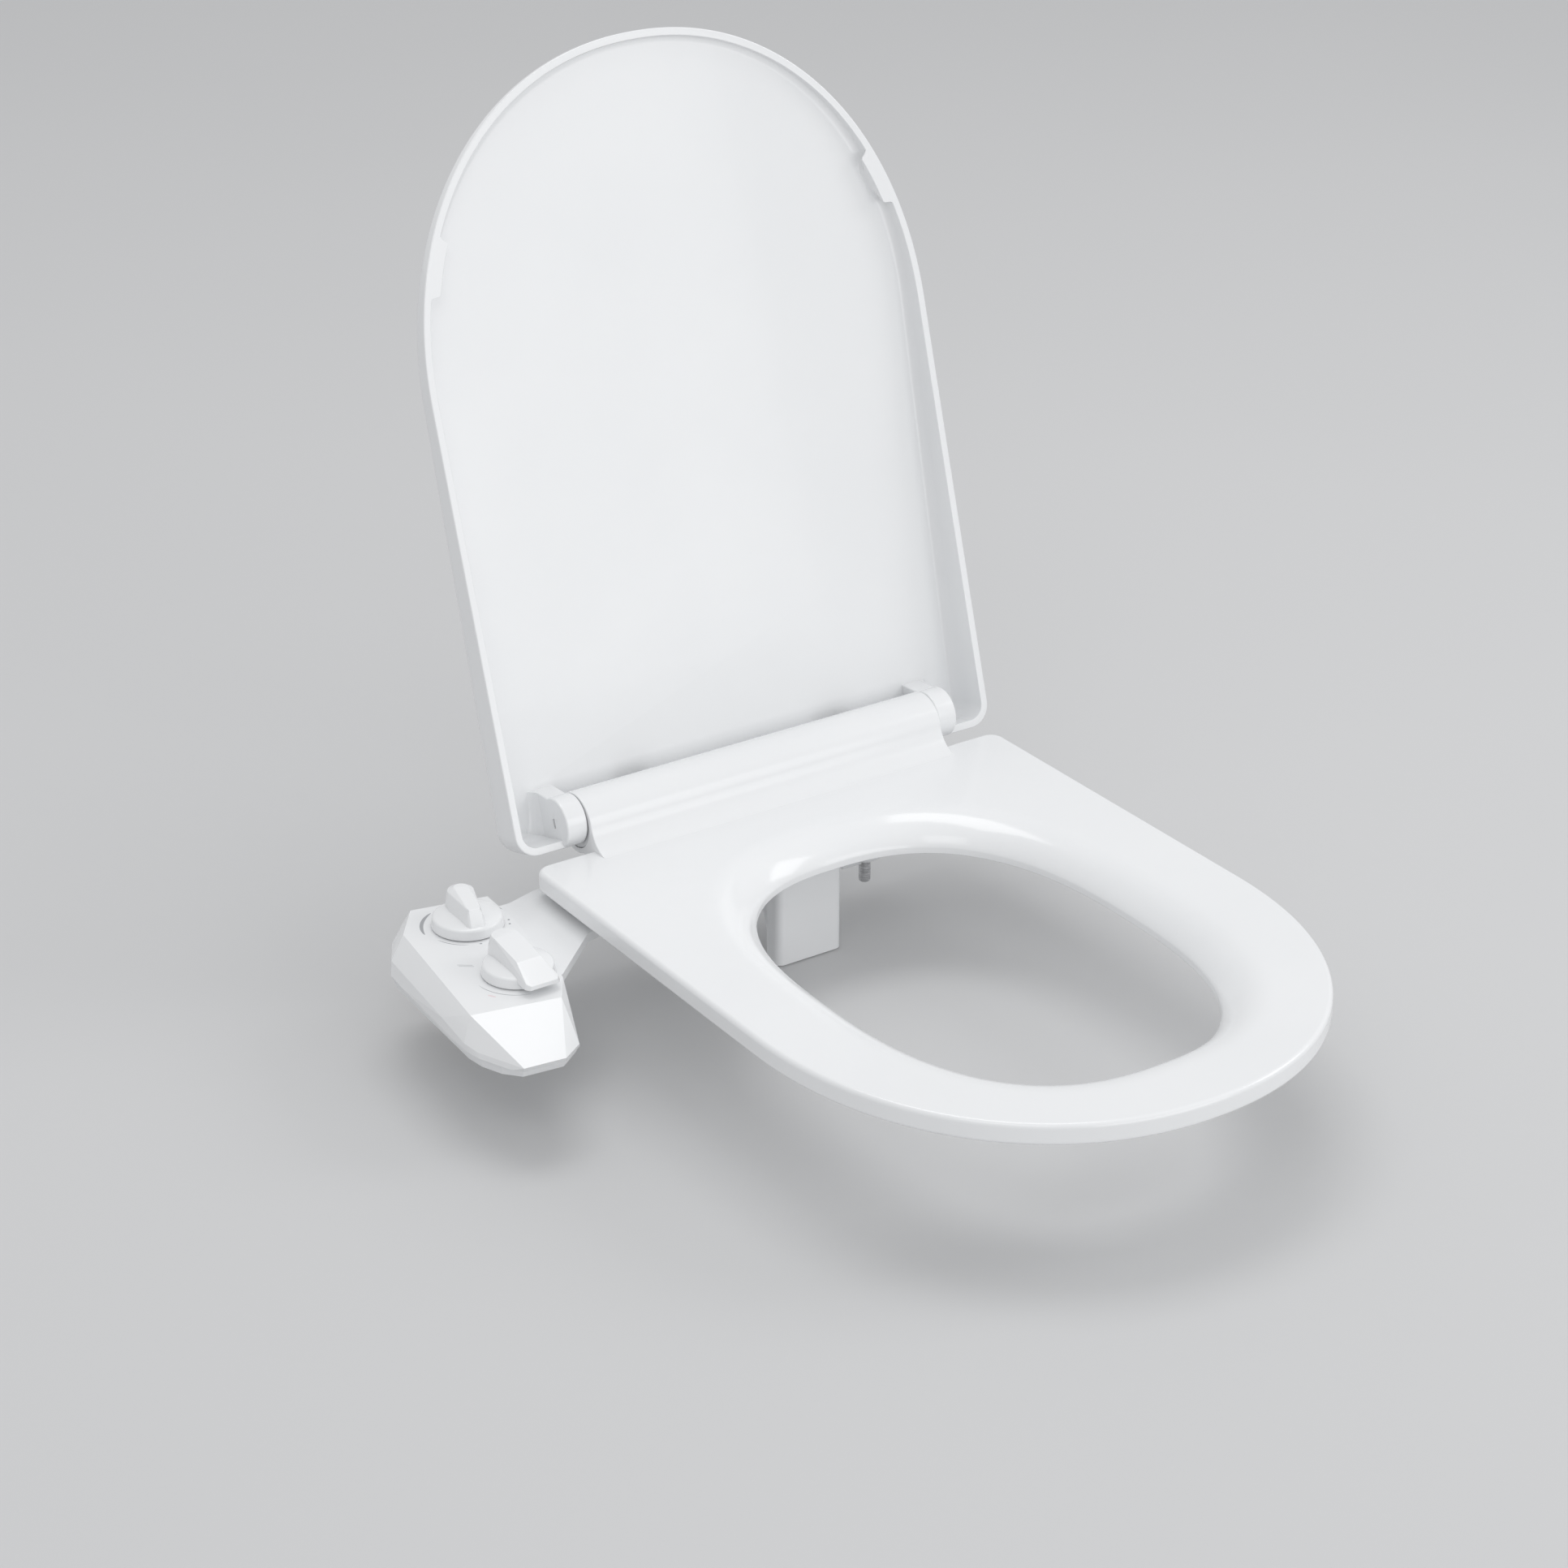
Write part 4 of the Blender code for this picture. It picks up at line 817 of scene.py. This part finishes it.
def lug_fillet(side, roof):
    """The hollow curve beside a lug. Its front end leans as the hood's front does."""
    root = side * (lug_end - HOOD_ROOT)
    hollow = [(root, roof), (side * (lug_end + HOOD_FILLET), roof)]
    for c, s in arc_steps(12):
        x = side * (lug_end + HOOD_FILLET - HOOD_LIP - HOOD_FILLET * s)
        hollow.append((x, roof - HOOD_DROP - HOOD_FILLET * (1 - c)))
    hollow.append((root, roof - HOOD_DROP - HOOD_FILLET))
    front = LUG_CENTRE[0] - LUG_RADIUS - 3.8 * MM
    leaning = [(x, front + 0.242 * (roof - z), z) for x, z in hollow]
    return loft([leaning, [(x, LID_REAR - 2 * MM, z) for x, z in hollow]], False)


print("a lug is", round(2000 * LUG_RADIUS), "mm across")

# %% Join the lugs
for side in (-1, 1):
    roof = lid_ceiling(0) + 1 * MM
    lug = object_from("lug", lug_prism(side, roof))
    rounded(lug, LUG_EDGE, 50)
    combined(lug, object_from("fillet", lug_fillet(side, roof)), "UNION")
    combined(lid, lug, "UNION")
    start, end = sorted((side * (lug_start - 5 * MM), side * (lug_end - 4.5 * MM)))
    bore = prism_along_x(circle((0, 0), LUG_BORE, 32), start, end)
    combined(lid, object_from("bore", bore), "DIFFERENCE")
    low, high = sorted((side * (lug_end - KEY_DEPTH), side * (lug_end + 2 * MM)))
    (y, z), (tall, thin) = LUG_CENTRE, KEY_SLOT
    key = block((low, y - tall / 2, z - thin / 2), (high, y + tall / 2, z + thin / 2))
    combined(lid, object_from("key_slot", key), "DIFFERENCE")
lid.data.transform(Matrix.Translation(hinge) @ Matrix.Rotation(-lid_open, 4, "X"))
finished(lid, "lid_cover", smooth=32)

# %% [markdown]
# ## The knobs
# Each knob is a low dome with a skirt and a tall wedge-shaped handle: the thumb rests on the sloped
# front. The dome is turned as on a lathe. The handle is the convex hull of a few points whose edges
# are then rounded, because a hull keeps its faces flat and crisp, as the real ones are.

# %% The dome
KNOB_RADIUS, KNOB_SIDES = 22.5 * MM, 112
HANDLE_FOOT = 4.1  # where a handle starts inside the dome, in millimetres


def knob_dome():
    """The dome's profile: nearly flat, a round shoulder, then a skirt."""
    r = KNOB_RADIUS
    flat = ((0, 8.4), (0.2, 8.36), (0.45, 8.2), (0.65, 7.9), (0.8, 7.4))
    profile = [(share * r, height * MM) for share, height in flat]
    profile += [(r * (0.88 + 0.09 * s), 5.0 * MM + 1.9 * MM * c) for c, s in arc_steps(6)]
    profile += [(0.985 * r, 3 * MM), (r, 1 * MM), (r - 0.1 * MM, 0.3 * MM), (r - 0.5 * MM, 0), (0, 0)]
    return lathe(profile, KNOB_SIDES)


print("a knob is", round(2000 * KNOB_RADIUS), "mm across")


# %% The handle
def handle(front, back, width, run, high, brow, tip, rear_share, brow_share, tip_share, turn):
    """Long along -Y before it is turned, and round behind. Its ridge falls to the brow, then runs down
    to the tip."""
    w, low = width / 2, HANDLE_FOOT
    points = []
    for side in (-1, 1):
        foot = w * (tip_share + 0.1)
        points += [(side * (foot - 2), -front, low), (side * (w * tip_share - 2), -front, tip - 0.6)]
        points += [(side * foot, 3 - front, low), (side * w * tip_share, 3 - front, tip)]
        points += [(side * brow_share * w, -front + run, brow), (side * w, 0, low)]
    tall = high - low
    for c, s in arc_steps(26, -10, 190):
        for share, level in ((1, low), (0.95, low + 0.45 * tall), (0.82, low + 0.85 * tall)):
            points.append((share * w * c, back - w + share * w * s, level))
        points.append((rear_share * w * c, back - w - 1 + rear_share * w * s, high))
    bm = bmesh.new()
    for point in points:
        bm.verts.new(Vector(point) * MM)
    made = bmesh.ops.convex_hull(bm, input=bm.verts)
    inside = [v for v in made["geom_interior"] if isinstance(v, bmesh.types.BMVert)]
    bmesh.ops.delete(bm, geom=inside, context="VERTS")
    bmesh.ops.dissolve_limit(bm, angle_limit=math.radians(2), verts=bm.verts, edges=bm.edges)
    turned_by = Matrix.Rotation(math.radians(turn), 3, "Z")
    bmesh.ops.rotate(bm, verts=bm.verts, matrix=turned_by, cent=(0, 0, 0))
    return bm


print("a handle starts", HANDLE_FOOT, "mm up")

# %% Both knobs
# In millimetres: reach in front and behind, width, the slope's run, heights at the back, brow and tip.
# Then the ridge's shares of the width at the back, brow and tip, and the turn in degrees.
HANDLES = {
    "pressure": (20, 22, 20, 6, 20.5, 17, 6, 0.45, 0.4, 0.62, -11),
    "selector": (31, 26, 21, 19, 19, 14.8, 7.4, 0.8, 0.78, 1.05, 0),
}
for word, sizes in HANDLES.items():
    knob = object_from(f"{word}_knob_moulding", knob_dome())
    grip = object_from("grip", handle(*sizes))
    rounded(grip, 1.6 * MM, 14, 4)
    combined(knob, grip, "UNION")
    axis = Vector(joints[f"{word}_turn"]["pos_m"])
    knob.data.transform(Matrix.Translation((axis.x, axis.y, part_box(f"{word}_knob")[0].z)))
    finished(knob, f"{word}_knob", smooth=38)

# %% [markdown]
# ## Softened copies
# The panel shells, plate, posts, nuts and other small mouldings already have the right shape in the
# frame, but their edges are razor sharp. A copy of each is merged, its flat triangles are joined into
# whole faces, and a Bevel gives every edge the small radius that a moulded or turned edge has, so it
# catches a line of light.

# %% Which finish each node has
slot_of = {}
for slot_name, nodes in {
    "white_plastic": "bidet_plate panel_top_shell guard_gate rear_nozzle front_nozzle",
    "soft_white_plastic": "hinge_post_left hinge_post_right barrel_bush_left barrel_bush_right "
    "slotted_disc_left slotted_disc_right wing_nut_left wing_nut_right panel_bottom_shell "
    "pressure_valve_body selector_valve_body nozzle_housing",
    "grey_plastic": "lid_damper_body seat_damper_body hinge_sleeve_right",
    "rubber": "rear_bumper_left rear_bumper_right front_bumper_left front_bumper_right "
    "rubber_washer_left rubber_washer_right inlet_filter_washer",
    "steel": "lid_damper_shaft lid_pivot_pin seat_damper_shaft mounting_bolt_left "
    "mounting_bolt_right gate_pin",
    "brass": "pressure_valve_stem selector_valve_stem inlet_fitting",
    "clear_tube": "rear_water_tube front_water_tube valve_link_tube",
}.items():
    for node in nodes.split():
        slot_of[node] = slot_name


print(len(slot_of), "nodes are softened")

# %% Soften
MERGE_DISTANCE, FLAT_ANGLE = 0.002 * MM, 0.6
PANEL_ANGLE = 12  # the panel's facets meet at shallow angles, so its edges count from here
EDGE_WIDTH = 0.35  # for nodes that the table of widths doesn't name, in millimetres


def softened(node, width, limit=30, smooth=35, finish=None):
    """A node's mesh, merged, with its edges rounded."""
    source = frame["nodes"][node]
    bm = bmesh.new()
    bm.from_mesh(source.data)
    bmesh.ops.remove_doubles(bm, verts=bm.verts, dist=MERGE_DISTANCE)
    bmesh.ops.dissolve_limit(bm, angle_limit=math.radians(FLAT_ANGLE), verts=bm.verts, edges=bm.edges)
    piece = object_from(f"{node}_skin", bm)
    rounded(piece, width, limit)
    finished(piece, node, finish, smooth, slot=slot_of[node])


widths = {
    "panel_top_shell": 1.1, "bidet_plate": 0.8, "guard_gate": 0.5, "panel_bottom_shell": 0.7,
    "rear_nozzle": 0.3, "front_nozzle": 0.3, "nozzle_housing": 0.4, "inlet_fitting": 0.3,
}
for node in sorted(slot_of):
    width = widths.get(node, EDGE_WIDTH) * MM
    if node.startswith("panel"):
        marked = printed_white if node == "panel_top_shell" else None
        softened(node, width, PANEL_ANGLE, PANEL_ANGLE, marked)
    else:
        softened(node, width)
print(len(shown), "pieces so far")

# %% [markdown]
# ## Threads and ribs with Geometry Nodes
# What repeats is left to Geometry Nodes: the thread on each bolt and on the inlet is a profile swept
# along a spiral, and the grip on a wing nut is a ring of ribs. Each tree has named inputs for its sizes
# and ends in Realize Instances and Set Material.


# %% A tree with named inputs
def nodes_group(name, inputs, build):
    """A Geometry Nodes tree. build gets the tree and a dict of input wires and returns the geometry."""
    group = bpy.data.node_groups.new(name, "GeometryNodeTree")
    group.interface.new_socket("Geometry", in_out="OUTPUT", socket_type="NodeSocketGeometry")
    names = {}
    for label, (kind, value) in inputs.items():
        socket = group.interface.new_socket(label, in_out="INPUT", socket_type=kind)
        if value is not None:
            socket.default_value = value
        names[label] = socket.identifier
    tree = Tree(group)
    entry = group.nodes.new("NodeGroupInput")
    wires = {label: Wire(tree, entry.outputs[label]) for label in inputs}
    shape = build(tree, wires)
    real = tree.node("GeometryNodeRealizeInstances", None, {0: shape})
    painted = tree.node("GeometryNodeSetMaterial", None, {"Geometry": real, "Material": wires["Finish"]})
    tree.node("NodeGroupOutput", None, {0: painted})
    return group, names


def grown(name, group, names, values, place):
    """A plain mesh from a tree, moved to its place."""
    obj = bpy.data.objects.new(name, bpy.data.meshes.new(name))
    bpy.context.scene.collection.objects.link(obj)
    modifier = obj.modifiers.new("nodes", "NODES")
    modifier.node_group = group
    for label, value in values.items():
        modifier[names[label]] = value
    baked(obj)
    obj.data.transform(place)
    return obj


print("a tree takes its sizes by name")


# %% Threads
def build_thread(tree, wire):
    """A ridge swept along a spiral."""
    turns = wire["Length"] / wire["Pitch"]
    spiral = tree.node("GeometryNodeCurveSpiral", None, {
        "Resolution": 28, "Rotations": turns,
        "Start Radius": wire["Radius"], "End Radius": wire["Radius"], "Height": wire["Length"],
    })
    diamond = {"Resolution": 4, "Radius": wire["Depth"]}
    ridge = tree.node("GeometryNodeCurvePrimitiveCircle", None, diamond)
    swept = {"Curve": spiral, "Profile Curve": ridge, "Fill Caps": True}
    return tree.node("GeometryNodeCurveToMesh", None, swept)


number, whole, paint = "NodeSocketFloat", "NodeSocketInt", "NodeSocketMaterial"
thread_tree, thread_inputs = nodes_group("screw_thread", {
    "Radius": (number, 4 * MM), "Pitch": (number, 1.5 * MM), "Length": (number, 40 * MM),
    "Depth": (number, 0.5 * MM), "Finish": (paint, None),
}, build_thread)


def threaded(name, node, start, radius, pitch, length, depth, slot):
    """A thread that starts a little above the foot of its node."""
    low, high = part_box(node)
    centre = (low + high) / 2
    sizes = {
        "Radius": radius * MM, "Pitch": pitch * MM, "Length": length * MM, "Depth": depth * MM,
        "Finish": finish_of[slot],
    }
    place = Matrix.Translation((centre.x, centre.y, low.z + start * MM))
    thread = grown(name, thread_tree, thread_inputs, sizes, place)
    finished(thread, node, smooth=50, slot=slot, stands_for=False)


for word in ("left", "right"):
    threaded(f"bolt_thread_{word}", f"mounting_bolt_{word}", 1.5, 3.75, 1.5, 34, 0.42, "steel")
threaded("inlet_thread", "inlet_fitting", 1.6, 7.35, 1.8, 9, 0.5, "brass")


# %% Ribs round a nut
def build_ribs(tree, wire):
    """A small block at each point of a circle, turned to face outwards."""
    round_nut = {"Vertices": wire["Count"], "Radius": wire["Radius"]}
    ring = tree.node("GeometryNodeMeshCircle", None, round_nut)
    spot = tree.node("GeometryNodeInputPosition")
    facing = tree.node("FunctionNodeAlignRotationToVector", {"axis": "X"}, {"Vector": spot})
    sides = {"X": wire["Width"], "Y": wire["Width"], "Z": wire["Height"]}
    size = tree.node("ShaderNodeCombineXYZ", None, sides)
    rib = tree.node("GeometryNodeMeshCube", None, {"Size": size})
    placed = {"Points": ring, "Instance": rib, "Rotation": facing}
    return tree.node("GeometryNodeInstanceOnPoints", None, placed)


rib_tree, rib_inputs = nodes_group("grip_ribs", {
    "Count": (whole, 28), "Radius": (number, 12 * MM), "Width": (number, 1 * MM),
    "Height": (number, 3 * MM), "Finish": (paint, None),
}, build_ribs)
for word in ("left", "right"):
    low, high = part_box(f"wing_nut_{word}")
    centre = (low + high) / 2
    sizes = {
        "Count": 30, "Radius": 11.55 * MM, "Width": 1.0 * MM, "Height": 2.4 * MM, "Finish": satin_white,
    }
    place = Matrix.Translation((centre.x, centre.y, high.z - 1.6 * MM))
    ribs = grown(f"nut_ribs_{word}", rib_tree, rib_inputs, sizes, place)
    finished(ribs, f"wing_nut_{word}", slot="soft_white_plastic", stands_for=False)

# %% [markdown]
# ## The floor
# The floor is one very large pale plane a little under the lowest part. It rides on no body of the seat.

# %% Floor
FLOOR_GAP, FLOOR_REACH = 1 * MM, 12
FLOOR_DARK, FLOOR_LIGHT = tone(0.61, 0.613, 0.618), tone(0.63, 0.632, 0.636)
bm = bmesh.new()
bmesh.ops.create_grid(bm, x_segments=4, y_segments=4, size=FLOOR_REACH)
floor = object_from("floor", bm)
floor.data.transform(Matrix.Translation((0, 0, cad_box[0].z - FLOOR_GAP)))
pale_floor, tree, place = blank_material("pale_floor")
shade = tree.node("ShaderNodeBsdfPrincipled", None, {
    "Base Color": tree.mix(tree.noise(place, 1.5, 2.0), FLOOR_DARK, FLOOR_LIGHT), "Roughness": 0.9,
})
tree.node("ShaderNodeOutputMaterial", None, {"Surface": shade})
floor.data.materials.append(pale_floor)
print("the floor lies at", round(cad_box[0].z - FLOOR_GAP, 4))
